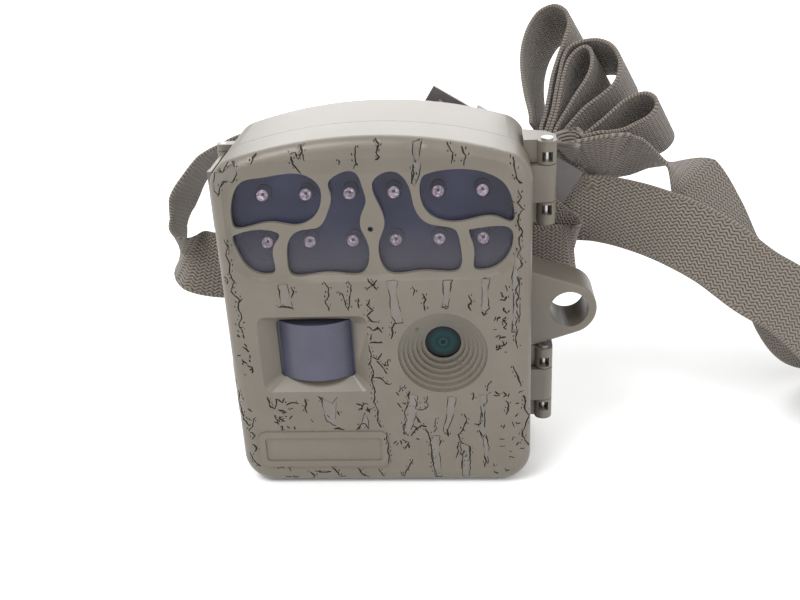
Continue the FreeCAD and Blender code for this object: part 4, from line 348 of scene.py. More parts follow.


# Near-black colour for the cut faces of the grooves: painted shade in the hollows.
groove_shade = surface("groove_shadow", linear(28, 24, 20), linear(48, 42, 36), (0.6, 0.75))
patch = surface("patch_plastic", linear(103, 98, 91), linear(112, 107, 101), (0.36, 0.46))
chance = random.Random(7)
cover = copy_of("front_shell", "bark_cover")
cover.data.materials.clear()
cover.data.materials.append(shell)
skin_of_cover = BVHTree.FromObject(cover, bpy.context.evaluated_depsgraph_get())
patches = bmesh.new()
grooves = bmesh.new()
for outline in PATCHES:
    edge = wander([*outline, outline[0]], chance, 1.4, 0.2)
    add_patch(patches, edge[:-1], PATCH_DEPTH)
    for start in range(0, len(edge) - 3, 7):
        add_groove(grooves, edge[start:start + 6], GROOVE_WIDTH * chance.uniform(0.5, 0.8),
                   GROOVE_DEPTH)
cut_away(cover, patches, patch)
for line in LINES:
    walked = wander(line, chance)
    add_groove(grooves, walked, GROOVE_WIDTH * chance.uniform(0.8, 1.3), GROOVE_DEPTH)
    for spot in walked[1:-1:2]:
        start = spot + Vector((chance.choice((-0.9, 0.9)), chance.uniform(-0.3, 0.3)))
        end = start + Vector((chance.uniform(-0.3, 0.3), chance.uniform(0.4, 0.9)))
        add_groove(grooves, [start, (start + end) / 2, end], GROOVE_WIDTH * 0.8, GROOVE_DEPTH)
for low, high, count in CLUSTERS:
    for _ in range(count):
        start = Vector((chance.uniform(low[0], high[0]), chance.uniform(low[1], high[1])))
        turn = chance.uniform(0, math.tau)
        end = start + chance.uniform(0.9, 2.2) * Vector((math.cos(turn), math.sin(turn)))
        add_groove(grooves, wander([start, end], chance, 0.6),
                   GROOVE_WIDTH * chance.uniform(0.8, 1.4), GROOVE_DEPTH)
cut_away(cover, grooves, groove_shade)
select_only(cover)
bpy.ops.object.shade_smooth_by_angle(angle=math.radians(26))
even = cover.modifiers.new("even", "WEIGHTED_NORMAL")
even.keep_sharp, even.weight = True, 100
bpy.ops.object.modifier_apply(modifier=even.name)
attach(cover, "cover")
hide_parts("front_shell")


# ---------------------------------------------------------------- flash window and lamps
# A dark clear pane in the cover's window, the black tray behind it, and twelve infra-red lamps
# of clear epoxy on their board, each with a metal cup and post inside. The cups carry a painted
# glow and painted highlights; the lamps are not lit.

FOOT_LIGHTENING = 0.2    # how much lighter the window is made at its foot


def clear_pane(name, tint, body, cover_up, gloss, rise=(-1.0, 0.0)):
    """A tinted pane that shows what lies behind it and mirrors the room a little.

    Between the two heights of rise it grades from a lighter solid colour below to its own tint
    above.
    """
    made = bpy.data.materials.new(name)
    made.use_nodes = True
    tree = made.node_tree
    tree.nodes.clear()
    film = place_noise(tree, 0.02)
    height = node(tree, "ShaderNodeSeparateXYZ",
                  {0: node(tree, "ShaderNodeTexCoord").outputs["Object"]}).outputs[2]
    low = node(tree, "ShaderNodeMapRange", {"Value": height, "From Min": rise[1],
                                            "From Max": rise[0]}).outputs[0]
    lighter_foot = maths(tree, "MULTIPLY", low, FOOT_LIGHTENING)
    through = node(tree, "ShaderNodeBsdfTransparent", {"Color": (*tint, 1)})
    solid = node(tree, "ShaderNodeBsdfDiffuse", {"Color": (*body, 1)})
    inside = node(tree, "ShaderNodeMixShader",
                  {0: maths(tree, "ADD", lighter_foot, level(tree, film, cover_up * 0.8, cover_up * 1.2)),
                   1: through.outputs[0], 2: solid.outputs[0]})
    mirror = node(tree, "ShaderNodeBsdfGlossy", {"Roughness": gloss})
    edge = node(tree, "ShaderNodeFresnel", {"IOR": 1.32})
    whole = node(tree, "ShaderNodeMixShader",
                 {0: edge.outputs[0], 1: inside.outputs[0], 2: mirror.outputs[0]})
    out = node(tree, "ShaderNodeOutputMaterial")
    tree.links.new(whole.outputs[0], out.inputs["Surface"])
    return made


def new_piece(name, mesh, *materials):
    """Make a piece from a finished bmesh."""
    data = bpy.data.meshes.new(name)
    mesh.to_mesh(data)
    mesh.free()
    for material in materials:
        data.materials.append(material)
    piece = bpy.data.objects.new(name, data)
    bpy.context.scene.collection.objects.link(piece)
    return piece


def turn_profile(mesh, profile, centre, slot, steps=24):
    """Turn (radius, y) points about a front-to-back line through a centre (x, z)."""
    rings = []
    for radius, y in profile:
        if radius == 0:
            rings.append([mesh.verts.new((centre[0], y, centre[1]))] * steps)
            continue
        rings.append([mesh.verts.new((centre[0] + radius * math.cos(math.tau * i / steps), y,
                                      centre[1] + radius * math.sin(math.tau * i / steps)))
                      for i in range(steps)])
    for near, far in zip(rings, rings[1:]):
        for i in range(steps):
            j = (i + 1) % steps
            corners = list(dict.fromkeys((near[i], near[j], far[j], far[i])))
            mesh.faces.new(corners).material_index = slot


window_low, window_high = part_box("ir_window")
pane = clear_pane("window_pane", (0.88, 0.88, 0.94), (0.17, 0.16, 0.19), 0.008, 0.04,
                  (window_low.z + 6 * MM, (window_low.z + window_high.z) / 2 + 1 * MM))
dress(pane, "ir_window")
black = surface("black_plastic", (0.008, 0.008, 0.014), (0.012, 0.013, 0.024), (0.5, 0.6),
                depth=0.000005)
tray = surface("tray_plastic", (0.012, 0.015, 0.045), (0.04, 0.046, 0.12), (0.5, 0.6),
               mottle=0.016, depth=0.000005)
dress(tray, "led_holder")
dress(black, "lens_holder", "lens_barrel", "power_jack", "mode_switch")

epoxy = clear_pane("lamp_epoxy", (0.97, 0.92, 0.95), (0.80, 0.70, 0.75), 0.07, 0.06)
glowing_cup = surface("lamp_cup_painted_glow", (0.10, 0.07, 0.07), (1.0, 0.90, 0.87), (0.16, 0.34),
                    mottle=0.0009, grain=0.0003, depth=0.00006, metallic=0.7)
# The cup's mottled colour also drives its emission: a painted glow, with painted highlights in the
# light mottle, in place of light caught in the cups.
cup_shader = glowing_cup.node_tree.nodes["Principled BSDF"]
glowing_cup.node_tree.links.new(cup_shader.inputs["Base Color"].links[0].from_socket,
                              cup_shader.inputs["Emission Color"])
cup_shader.inputs["Emission Strength"].default_value = 0.42

lamp_low, lamp_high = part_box("ir_leds")
LAMP_RADIUS = 2.5 * MM
LAMP_PITCH = 14.2 * MM
lamp_rows = (lamp_low.z + LAMP_RADIUS, lamp_high.z - LAMP_RADIUS)
front, back = lamp_low.y, lamp_high.y
lamps = bmesh.new()
for row in lamp_rows:
    for column in range(6):
        spot = (LAMP_PITCH * (column - 2.5), row)
        dome = [(0, front)]
        for i in range(1, 7):
            angle = math.radians(15 * i)
            dome.append((LAMP_RADIUS * math.sin(angle),
                         front + LAMP_RADIUS * (1 - math.cos(angle))))
        rim = [(LAMP_RADIUS, back - 1.2 * MM), (LAMP_RADIUS + 0.25 * MM, back - 1.1 * MM),
               (LAMP_RADIUS + 0.25 * MM, back), (0, back)]
        turn_profile(lamps, dome + rim, spot, 0, 20)
        cup = front + 2.4 * MM
        turn_profile(lamps, [(2.1 * MM, cup), (2.3 * MM, cup), (2.3 * MM, cup + 1.6 * MM),
                             (0.7 * MM, cup + 1.5 * MM), (0.55 * MM, cup + 1.1 * MM),
                             (2.1 * MM, cup)], spot, 1, 16)
        turn_profile(lamps, [(0, cup + 0.9 * MM), (0.42 * MM, cup + 0.9 * MM),
                             (0.42 * MM, cup + 3.8 * MM), (0, cup + 3.8 * MM)], spot, 2, 10)
lamps = new_piece("lamps", lamps, epoxy, glowing_cup, black)
select_only(lamps)
bpy.ops.object.shade_smooth_by_angle(angle=math.radians(40))
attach(lamps, "cover")
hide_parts("ir_leds")


# ---------------------------------------------------------------- heat sensor
# Milky polythene lens, bulging between the walls of its throat, over a metal sensor can.
# Fine rings are moulded into its inner face and just show through.

milky = surface("sensor_lens", linear(62, 62, 78), linear(72, 72, 88), (0.3, 0.42),
                mottle=0.012, grain=0.0006, depth=0.00001)
milky_tree = milky.node_tree
sensor_low, sensor_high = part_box("pir_lens")
sensor_middle = (sensor_low + sensor_high) / 2
spot = node(milky_tree, "ShaderNodeTexCoord").outputs["Object"]
offset = node(milky_tree, "ShaderNodeVectorMath", {0: spot, 1: tuple(sensor_middle)},
              operation="SUBTRACT").outputs[0]
facet = node(milky_tree, "ShaderNodeVectorMath", {0: offset, 1: (0.0062, 1.0, 0.0086)},
             operation="MODULO").outputs[0]
rings = node(milky_tree, "ShaderNodeTexWave", {"Vector": facet, "Scale": 420.0},
             wave_type="RINGS", rings_direction="SPHERICAL").outputs[1]
ringed = node(milky_tree, "ShaderNodeBump", {"Height": rings, "Distance": 0.00001,
                                             "Strength": 0.5})
milky_tree.links.new(ringed.outputs[0], milky_tree.nodes["Principled BSDF"].inputs["Normal"])
dress(milky, "pir_lens")
steel = surface("plated_steel", (0.42, 0.42, 0.43), (0.62, 0.61, 0.6), (0.22, 0.4), mottle=0.003,
                grain=0.0003, depth=0.00001, metallic=1.0)
dress(steel, "pir_sensor", "panel_screws", "tray_screws", "key_domes", "switch_case",
      "sd_socket", "usb_socket", "latch_pin_lower", "latch_pin_upper", "buckle_pin",
      "hinge_pin_lower", "hinge_pin_upper")


# ---------------------------------------------------------------- camera lens
# Coated front glass at the foot of the stepped funnel, domed, with the iris dark behind it.
# The black barrel and its holder hold it in the cover.

lens_low, lens_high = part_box("lens_glass")
lens_middle = (lens_low + lens_high) / 2
coated = bpy.data.materials.new("coated_glass")
coated.use_nodes = True
coated_tree = coated.node_tree
coated_shader = coated_tree.nodes["Principled BSDF"]
spot = node(coated_tree, "ShaderNodeTexCoord").outputs["Object"]
offset = node(coated_tree, "ShaderNodeVectorMath", {0: spot, 1: tuple(lens_middle)},
              operation="SUBTRACT").outputs[0]
flat = node(coated_tree, "ShaderNodeVectorMath", {0: offset, 1: (1.0, 0.0, 1.0)},
            operation="MULTIPLY").outputs[0]
reach = node(coated_tree, "ShaderNodeVectorMath", {0: flat}, operation="LENGTH").outputs["Value"]
across = maths(coated_tree, "DIVIDE", reach, 0.007)
film = maths(coated_tree, "MULTIPLY_ADD", place_noise(coated_tree, 0.004), 0.03, across)
coating = ramp(coated_tree, film, (0.0, (0.001, 0.002, 0.003)), (0.13, (0.001, 0.006, 0.008)),
               (0.19, (0.006, 0.07, 0.08)), (0.25, (0.001, 0.014, 0.018)),
               (0.5, (0.001, 0.036, 0.042)),
               (0.68, (0.001, 0.016, 0.02)), (0.78, (0.001, 0.002, 0.003)))
coated_tree.links.new(coating, coated_shader.inputs["Base Color"])
coated_tree.links.new(level(coated_tree, place_noise(coated_tree, 0.003), 0.05, 0.12),
                      coated_shader.inputs["Roughness"])
coated_shader.inputs["Specular IOR Level"].default_value = 0.22
lens = bmesh.new()
glass_radius = (lens_high.x - lens_low.x) / 2
turn_profile(lens, [(0, lens_low.y - 0.55 * MM), (1.5 * MM, lens_low.y - 0.5 * MM),
                    (3.0 * MM, lens_low.y - 0.35 * MM), (4.4 * MM, lens_low.y - 0.1 * MM),
                    (5.0 * MM, lens_low.y), (glass_radius, lens_low.y),
                    (glass_radius, lens_high.y), (0, lens_high.y)],
             (lens_middle.x, lens_middle.z), 0, 48)
lens = new_piece("front_glass", lens, coated)
select_only(lens)
bpy.ops.object.shade_smooth_by_angle(angle=math.radians(40))
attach(lens, "cover")
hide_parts("lens_glass")
chip = surface("sensor_chip", (0.02, 0.03, 0.06), (0.05, 0.06, 0.12), (0.1, 0.2), grain=0.0002,
               depth=0.000005)
dress(chip, "image_sensor")


# ---------------------------------------------------------------- boards, panel, keys, screen
# Green circuit boards, the black inner panel with its screen and rubber keys, the memory card
# and the mode switch. They ride on the cover and show when it is open.

board = surface("circuit_board", (0.008, 0.07, 0.028), (0.02, 0.13, 0.055), (0.3, 0.42),
                mottle=0.002, grain=0.0008, depth=0.00003)
dress(board, "led_board", "main_board")
panel = surface("panel_plastic", (0.022, 0.022, 0.023), (0.036, 0.035, 0.036), (0.5, 0.66),
                grain=0.0003, depth=0.00004)
dress(panel, "inner_panel", "battery_tray")
rubber = surface("key_rubber", (0.10, 0.10, 0.10), (0.16, 0.155, 0.15), (0.6, 0.78),
                 mottle=0.002, grain=0.0002)
dress(rubber, "key_ok", "key_left", "key_right", "key_up", "key_down")
screen = surface("screen_glass", (0.010, 0.012, 0.014), (0.018, 0.021, 0.024), (0.05, 0.09),
                 mottle=0.03, depth=0.000002)
dress(screen, "lcd_screen")
card = surface("memory_card", (0.012, 0.012, 0.016), (0.03, 0.03, 0.036), (0.4, 0.5))
dress(card, "sd_card")


# ---------------------------------------------------------------- latches, seal, insert, plug
# Two latch levers of the housing's plastic, the black rubber seal in its groove, the rubber
# plug of the power jack, and the turned brass insert of the tripod socket.

dress(shell, "latch_lower", "latch_upper")
seal = surface("seal_rubber", (0.018, 0.018, 0.019), (0.035, 0.034, 0.034), (0.6, 0.8),
               mottle=0.003, grain=0.0002)
dress(seal, "gasket", "jack_plug")
brass = surface("turned_brass", (0.55, 0.38, 0.14), (0.75, 0.56, 0.26), (0.25, 0.4),
                mottle=0.002, grain=0.0003, metallic=1.0)
dress(brass, "tripod_insert")


# ---------------------------------------------------------------- batteries
# Eight cells with dark plain jackets and bright ends, in a black tray with nickel-plated
# springs and contact plates.

nickel = surface("nickel_plate", (0.6, 0.59, 0.56), (0.8, 0.79, 0.76), (0.15, 0.3),
                 mottle=0.002, grain=0.0002, depth=0.00001, metallic=1.0)
dress(nickel, "battery_springs", "contact_plates")
jacket = surface("cell_jacket", (0.035, 0.037, 0.045), (0.06, 0.062, 0.07), (0.2, 0.3),
                 mottle=0.02, grain=0.0006, depth=0.00001)
jacket_tree = jacket.node_tree
jacket_shader = jacket_tree.nodes["Principled BSDF"]
facing = node(jacket_tree, "ShaderNodeNewGeometry").outputs["True Normal"]
upright = node(jacket_tree, "ShaderNodeSeparateXYZ", {0: facing}).outputs[2]
is_end = maths(jacket_tree, "GREATER_THAN", maths(jacket_tree, "ABSOLUTE", upright), 0.9)
jacket_tree.links.new(is_end, jacket_shader.inputs["Metallic"])
dress(jacket, "battery_cells")


# ---------------------------------------------------------------- buckle
# Pressed plate with a folded cam lever on a steel pin, painted grey.
# It grips the free end of the strap.

buckle = surface("buckle_paint", linear(84, 79, 79), linear(94, 89, 89), (0.36, 0.46),
                 mottle=0.004, grain=0.0003, depth=0.00002)
dress(buckle, "buckle_frame", "buckle_cam")


# ---------------------------------------------------------------- strap
# Woven webbing, 25 mm wide and 1.2 m long: sewn to the buckle, round the bars on the back,
# under the cam, and gathered in four folds behind the hinge. The stations are those of the CAD
# strap, but the leans after the table loop are turned over, which takes out a half twist, and
# four stations at the root of the folds stand up to 9 mm further forward.

STATIONS = [  # middle of the band and the direction across it, m
    ((0.026, 0.0389, 0.105), (-5, 0, -8)), ((0.017, 0.0389, 0.1106), (-5, 0, -8)),
    ((0.0153, 0.0385, 0.1117), (-5, 0, -8)), ((0.0148, 0.0372, 0.112), (-5, 0, -8)),
    ((0.0153, 0.0359, 0.1117), (-5, 0, -8)), ((0.017, 0.0354, 0.1105), (-5, 0, -8)),
    ((0.038, 0.0354, 0.092), (-4, 0, -9)), ((0.052, 0.0354, 0.078), (-4, 0, -9)),
    ((0.061, 0.0352, 0.07), (-2, 0, -9)), ((0.067, 0.034, 0.0665), (-1, 0, -9)),
    ((0.0695, 0.0316, 0.065), (0, 0, -9)), ((0.067, 0.029, 0.064), (0, 0, -9)),
    ((0.061, 0.0282, 0.064), (0, 0, -9)), ((0.044, 0.0282, 0.064), (0, 0, -9)),
    ((-0.044, 0.0282, 0.064), (0, 0, -9)), ((-0.056, 0.028, 0.0625), (1, -1, -9)),
    ((-0.066, 0.027, 0.0635), (2, -2, -9)), ((-0.074, 0.0265, 0.066), (2, -2, -9)),
    ((-0.0785, 0.0275, 0.069), (1, 1, -9)), ((-0.0805, 0.0305, 0.0735), (0, 4, -8)),
    ((-0.0805, 0.0335, 0.079), (-1, 6, -7)), ((-0.079, 0.0365, 0.0855), (-1, 6, -8)),
    ((-0.075, 0.0395, 0.0925), (-2, 6, -7)), ((-0.069, 0.0435, 0.0995), (-2, 8, -6)),
    ((-0.061, 0.0465, 0.1045), (-3, 8, -4)), ((-0.045, 0.0485, 0.107), (-3, 8, -5)),
    ((-0.028, 0.0475, 0.108), (-4, 7, -6)), ((-0.012, 0.0455, 0.108), (-4, 5, -8)),
    ((0.004, 0.0435, 0.1085), (-4, 1, -8)), ((0.018, 0.0418, 0.1075), (-4, 0, -8)),
    ((0.028, 0.0403, 0.1033), (-5, 0, -8)), ((0.033, 0.03885, 0.1006), (-5, 0, -8)),
    ((0.067, 0.0389, 0.0796), (-5, 0, -8)), ((0.079, 0.0378, 0.079), (-3, -2, -9)),
    ((0.091, 0.029, 0.079), (-1, -4, -9)), ((0.105, 0.017, 0.077), (-1, -4, -9)),
    ((0.117, 0.01, 0.072), (-2, -4, -9)), ((0.13, 0.0045, 0.063), (-3, -4, -9)),
    ((0.142, 0.0015, 0.056), (-3, -4, -9)), ((0.157, 0, 0.042), (-3, -3, -9)),
    ((0.173, 0.002, 0.026), (-2, -2, -9)), ((0.188, 0.009, 0.015), (-1, -1, -9)),
    ((0.198, 0.022, 0.013), (0, 0, -9)), ((0.199, 0.038, 0.013), (0, 0, -9)),
    ((0.19, 0.05, 0.013), (0, 1, -9)), ((0.177, 0.052, 0.014), (1, 2, -9)),
    ((0.166, 0.046, 0.018), (-4, -4, -8)), ((0.155, 0.037, 0.028), (-6, -5, -6)),
    ((0.143, 0.031, 0.045), (-8, -6, 3)), ((0.131, 0.0285, 0.063), (-8, -6, 2)),
    ((0.122, 0.032, 0.079), (-9, -5, 1)), ((0.1138, 0.0362, 0.0893), (-9, -4, -2)),
    ((0.1058, 0.04, 0.0945), (-9, -14, 6)), ((0.0989, 0.0423, 0.0964), (-6, -14, 10)),
    ((0.0932, 0.0429, 0.097), (-4, -12, 14)), ((0.0877, 0.0423, 0.0974), (-2, -11, 15)),
    ((0.084, 0.0411, 0.0979), (-2, -10, 16)), ((0.0799, 0.041, 0.0976), (-3, -10, 16)),
    ((0.076, 0.0416, 0.097), (-4, -9, 13)), ((0.0725, 0.0429, 0.096), (-4, -7, 9)),
    ((0.0701, 0.0434, 0.0963), (-4, -6, 7)), ((0.0708, 0.0452, 0.0957), (-4, -6, 7)),
    ((0.0739, 0.0465, 0.0963), (-4, -6, 7)), ((0.0799, 0.0477, 0.0979), (-4, -6, 7)),
    ((0.0854, 0.0481, 0.0985), (-4, -6, 7)), ((0.0918, 0.0479, 0.0998), (-4, -6, 7)),
    ((0.0974, 0.0484, 0.1021), (-4, -6, 7)), ((0.1018, 0.0486, 0.1047), (-4, -6, 7)),
    ((0.1043, 0.0502, 0.1076), (-4, -6, 7)), ((0.1043, 0.053, 0.1099), (-4, -6, 7)),
    ((0.102, 0.0559, 0.1111), (-4, -6, 7)), ((0.0984, 0.0575, 0.1104), (-4, -6, 7)),
    ((0.094, 0.0578, 0.1081), (-4, -6, 7)), ((0.0894, 0.0566, 0.1045), (-4, -6, 7)),
    ((0.0845, 0.0553, 0.1006), (-4, -6, 7)), ((0.079, 0.0543, 0.0966), (-4, -6, 7)),
    ((0.0747, 0.054, 0.0938), (-4, -6, 7)), ((0.0716, 0.0541, 0.0922), (-4, -6, 7)),
    ((0.0686, 0.0548, 0.0911), (-4, -6, 7)), ((0.0668, 0.0572, 0.0921), (-4, -6, 7)),
    ((0.0665, 0.0601, 0.0944), (-4, -6, 7)), ((0.0673, 0.0625, 0.0969), (-4, -6, 7)),
    ((0.0685, 0.0647, 0.0995), (-4, -6, 7)), ((0.07, 0.068, 0.1032), (-4, -6, 7)),
    ((0.0714, 0.0725, 0.1078), (-4, -6, 7)), ((0.0733, 0.0785, 0.1141), (-4, -6, 7)),
    ((0.0758, 0.0827, 0.1191), (-4, -6, 7)), ((0.0793, 0.0842, 0.1224), (-4, -6, 7)),
    ((0.082, 0.0835, 0.1234), (-4, -6, 7)), ((0.0837, 0.0811, 0.1222), (-4, -6, 7)),
    ((0.0837, 0.0763, 0.1181), (-4, -6, 7)), ((0.0813, 0.0723, 0.1133), (-4, -6, 7)),
    ((0.0774, 0.0692, 0.1084), (-4, -6, 7)), ((0.0734, 0.0656, 0.103), (-4, -6, 7)),
    ((0.0699, 0.0623, 0.0982), (-4, -6, 7)), ((0.0687, 0.0603, 0.0959), (-4, -6, 7)),
    ((0.069, 0.058, 0.0941), (-4, -6, 7)), ((0.0703, 0.0572, 0.0941), (-4, -6, 7)),
    ((0.0715, 0.0586, 0.096), (-4, -6, 7)), ((0.0752, 0.0608, 0.1), (-4, -6, 7)),
    ((0.0803, 0.063, 0.1048), (-4, -6, 7)), ((0.0864, 0.0639, 0.1091), (-4, -6, 7)),
    ((0.0908, 0.0652, 0.1127), (-4, -6, 7)), ((0.0932, 0.0685, 0.1169), (-4, -6, 7)),
    ((0.0934, 0.0737, 0.1215), (-4, -6, 7)), ((0.0909, 0.0792, 0.1247), (-4, -6, 7)),
    ((0.0869, 0.0831, 0.1258), (-4, -6, 7)), ((0.0827, 0.0854, 0.1254), (-4, -6, 7)),
    ((0.079, 0.0866, 0.1243), (-4, -6, 7)), ((0.0758, 0.0867, 0.1225), (-4, -6, 7)),
    ((0.0735, 0.0842, 0.1191), (-4, -6, 7)), ((0.0717, 0.0794, 0.114), (-4, -6, 7)),
    ((0.0698, 0.0733, 0.1077), (-4, -6, 7)), ((0.0685, 0.0688, 0.103), (-4, -6, 7)),
    ((0.067, 0.0655, 0.0994), (-4, -6, 7)), ((0.0655, 0.0629, 0.0962), (-4, -6, 7)),
    ((0.0644, 0.0624, 0.0952), (-4, -6, 7)), ((0.0637, 0.0643, 0.0964), (-4, -6, 7)),
    ((0.0652, 0.0677, 0.1001), (-4, -6, 7)), ((0.0672, 0.0736, 0.1064), (-4, -6, 7)),
    ((0.0691, 0.0803, 0.1132), (-4, -6, 7)), ((0.0717, 0.0858, 0.1194), (-4, -6, 7)),
    ((0.0746, 0.0909, 0.1255), (-4, -6, 7)), ((0.0765, 0.0958, 0.1307), (-4, -6, 7)),
    ((0.0755, 0.1008, 0.1344), (-4, -6, 7)), ((0.0712, 0.1054, 0.1359), (-4, -6, 7)),
    ((0.0657, 0.1065, 0.1337), (-4, -6, 7)), ((0.0615, 0.1037, 0.1289), (-4, -6, 7)),
    ((0.0589, 0.0991, 0.1235), (-4, -6, 7)), ((0.0578, 0.0941, 0.1186), (-4, -6, 7)),
    ((0.0577, 0.0879, 0.1132), (-4, -6, 7)), ((0.0585, 0.0799, 0.1068), (-4, -6, 7)),
    ((0.06, 0.0716, 0.1006), (-4, -6, 7)), ((0.0601, 0.0683, 0.0978), (-4, -6, 7)),
]
STRAP_WIDTH = 25 * MM
STRAP_THICK = 1.4 * MM
STRAP_STEP = 1.3 * MM


def spline(before, start, end, after, share):
    """Point of a centripetal Catmull-Rom curve between start and end."""
    knots = [0.0]
    for a, b in ((before, start), (start, end), (end, after)):
        knots.append(knots[-1] + max((b - a).length, 1e-6) ** 0.5)
    t0, t1, t2, t3 = knots
    t = t1 + (t2 - t1) * share
    a1 = before.lerp(start, (t - t0) / (t1 - t0))
    a2 = start.lerp(end, (t - t1) / (t2 - t1))
    a3 = end.lerp(after, (t - t2) / (t3 - t2))
    b1 = a1.lerp(a2, (t - t0) / (t2 - t0))
    b2 = a2.lerp(a3, (t - t1) / (t3 - t1))
    return b1.lerp(b2, share)


def smooth_line():
    """The strap's middle line and its direction across, in short even steps."""
    middles = [Vector(middle) for middle, _ in STATIONS]
    leans = [Vector(lean).normalized() for _, lean in STATIONS]
    middles = [2 * middles[0] - middles[1], *middles, 2 * middles[-1] - middles[-2]]
    line = []
    for i in range(1, len(middles) - 2):
        span = (middles[i + 1] - middles[i]).length
        count = max(4, math.ceil(span / STRAP_STEP))
        for k in range(count):
            share = k / count
            place = spline(*middles[i - 1:i + 3], share)
            line.append((place, leans[i - 1].lerp(leans[i], share)))
    line.append((middles[-2], leans[-1]))
    return line


half, thick = STRAP_WIDTH / 2, STRAP_THICK / 2
section = [(-half, 0.0), (-half + 0.4 * MM, thick), (-half / 2, thick), (0.0, thick),
           (half / 2, thick), (half - 0.4 * MM, thick), (half, 0.0), (half - 0.4 * MM, -thick),
           (half / 2, -thick), (0.0, -thick), (-half / 2, -thick), (-half + 0.4 * MM, -thick)]
line = smooth_line()
strap = bmesh.new()
band = strap.loops.layers.uv.new("band")
rings, run, lengths = [], 0.0, []
for i, (place, lean) in enumerate(line):
    along = line[min(i + 1, len(line) - 1)][0] - line[max(i - 1, 0)][0]
    across = (lean - along * (lean.dot(along) / along.dot(along))).normalized()
    through = along.cross(across).normalized()
    rings.append([strap.verts.new(place + across * u + through * v) for u, v in section])
    run += (place - line[i - 1][0]).length if i else 0.0
    lengths.append(run)
for i, (near, far) in enumerate(zip(rings, rings[1:])):
    for j in range(len(section)):
        k = (j + 1) % len(section)
        face = strap.faces.new((near[j], near[k], far[k], far[j]))
        spots = ((section[j][0], lengths[i]), (section[k][0], lengths[i]),
                 (section[k][0], lengths[i + 1]), (section[j][0], lengths[i + 1]))
        for loop, spot in zip(face.loops, spots):
            loop[band].uv = spot
for ring in (rings[0], rings[-1][::-1]):
    strap.faces.new(ring)
bmesh.ops.recalc_face_normals(strap, faces=strap.faces)

webbing = bpy.data.materials.new("woven_webbing")
webbing.use_nodes = True
weave = webbing.node_tree
cloth = weave.nodes["Principled BSDF"]
place = node(weave, "ShaderNodeUVMap", uv_map="band").outputs[0]
sides = node(weave, "ShaderNodeSeparateXYZ", {0: place})
u = maths(weave, "MULTIPLY", sides.outputs[0], 1000.0)
v = maths(weave, "MULTIPLY", sides.outputs[1], 1000.0)
ROW = 1.35     # mm between rows, across the band
WAVE = 3.1     # mm from wave to wave, along it
HEM = 11.3     # mm from the middle line to the looped edge
LOOP = 1.25    # mm from loop to loop, along the edge
unevenness = maths(weave, "MULTIPLY", place_noise(weave, 0.004), 0.5)
wave = maths(weave, "SINE", maths(weave, "MULTIPLY", v, math.tau / WAVE))
bent = maths(weave, "ADD", maths(weave, "MULTIPLY_ADD", wave, 0.5, u), unevenness)
row = maths(weave, "FRACT", maths(weave, "DIVIDE", bent, ROW))
ridge = maths(weave, "SINE", maths(weave, "MULTIPLY", row, math.pi))
strand = maths(weave, "SINE", maths(weave, "MULTIPLY", v, math.tau / (WAVE / 2)))
twist = maths(weave, "MULTIPLY_ADD", strand, 0.16, ridge)
edge = maths(weave, "GREATER_THAN", maths(weave, "ABSOLUTE", u), HEM)
loops = maths(weave, "SINE", maths(weave, "MULTIPLY_ADD", v, math.tau / LOOP,
                                   maths(weave, "MULTIPLY", u, 2.2)))
loops = maths(weave, "MULTIPLY_ADD", loops, 0.35, 0.6)
height = node(weave, "ShaderNodeMix", {"Factor": edge, "A": twist, "B": loops}).outputs[0]
fibre = place_noise(weave, 0.00022, 2.0)
fuzzy = maths(weave, "MULTIPLY_ADD", fibre, 0.35, height)
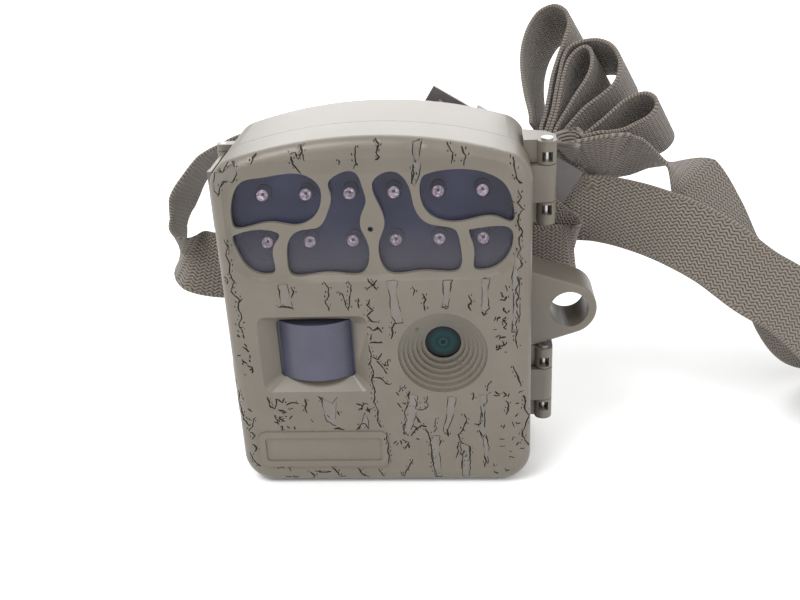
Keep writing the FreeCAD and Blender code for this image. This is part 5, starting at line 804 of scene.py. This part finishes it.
# The colour follows the weave's relief, darker in its hollows and lighter on its ridges: painted
# shade over the yarn's own colour.
painted_weave_shade = ramp(weave, fuzzy, (0.2, linear(46, 41, 36)), (0.6, linear(94, 87, 79)),
             (1.0, linear(124, 115, 106)))
weave.links.new(painted_weave_shade, cloth.inputs["Base Color"])
weave.links.new(level(weave, fibre, 0.75, 0.95), cloth.inputs["Roughness"])
cloth.inputs["Sheen Weight"].default_value = 0.25
cloth.inputs["Sheen Roughness"].default_value = 0.4
bumped = node(weave, "ShaderNodeBump", {"Height": fuzzy, "Distance": 0.00045, "Strength": 0.9})
weave.links.new(bumped.outputs[0], cloth.inputs["Normal"])
strap = new_piece("webbing_strap", strap, webbing)
select_only(strap)
bpy.ops.object.shade_smooth_by_angle(angle=math.radians(50))
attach(strap, "housing")
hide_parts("strap")


# ---------------------------------------------------------------- table, lights and camera
# A plain white table and room, a broad soft light above left, a weaker one from the right,
# a back light, and the camera where the photograph was taken from.

table = bmesh.new()
bmesh.ops.create_grid(table, x_segments=8, y_segments=8, size=4.0)
white = surface("white_table", (0.86, 0.86, 0.86), (0.88, 0.88, 0.88), (0.5, 0.6), mottle=0.3,
                depth=0.000005)
table = new_piece("table", table, white)

scene = bpy.context.scene
scene.view_settings.view_transform = "Standard"
room = bpy.data.worlds.new("room")
room.use_nodes = True
room.node_tree.nodes["Background"].inputs["Color"].default_value = (1.0, 1.0, 1.0, 1)
room.node_tree.nodes["Background"].inputs["Strength"].default_value = 1.0
scene.world = room


def soft_light(name, place, target, size, power):
    """A square lamp that faces a point."""
    data = bpy.data.lights.new(name, "AREA")
    data.size, data.energy = size, power
    lamp = bpy.data.objects.new(name, data)
    scene.collection.objects.link(lamp)
    lamp.location = place
    lamp.rotation_euler = (Vector(target) - Vector(place)).to_track_quat("-Z", "Y").to_euler()


soft_light("key", (-0.35, -0.35, 0.9), (0.0, 0.0, 0.05), 0.45, 6.0)
soft_light("fill", (0.8, -0.7, 0.6), (0.0, 0.0, 0.05), 0.8, 3.0)
soft_light("back", (0.0, 1.3, 0.75), (0.0, 0.0, 0.1), 1.2, 11.0)

lens_data = bpy.data.cameras.new("view")
lens_data.lens = 44.3
lens_data.sensor_width = 36.0
lens_data.clip_start = 0.01
camera = bpy.data.objects.new("view", lens_data)
scene.collection.objects.link(camera)
camera.matrix_world = Matrix(((0.9975, 0.0176, 0.0743, 0.0319),
                              (0.0595, 0.4304, -0.9011, -0.3152),
                              (-0.0478, 0.9026, 0.4280, 0.2100),
                              (0.0, 0.0, 0.0, 1.0)))
scene.camera = camera
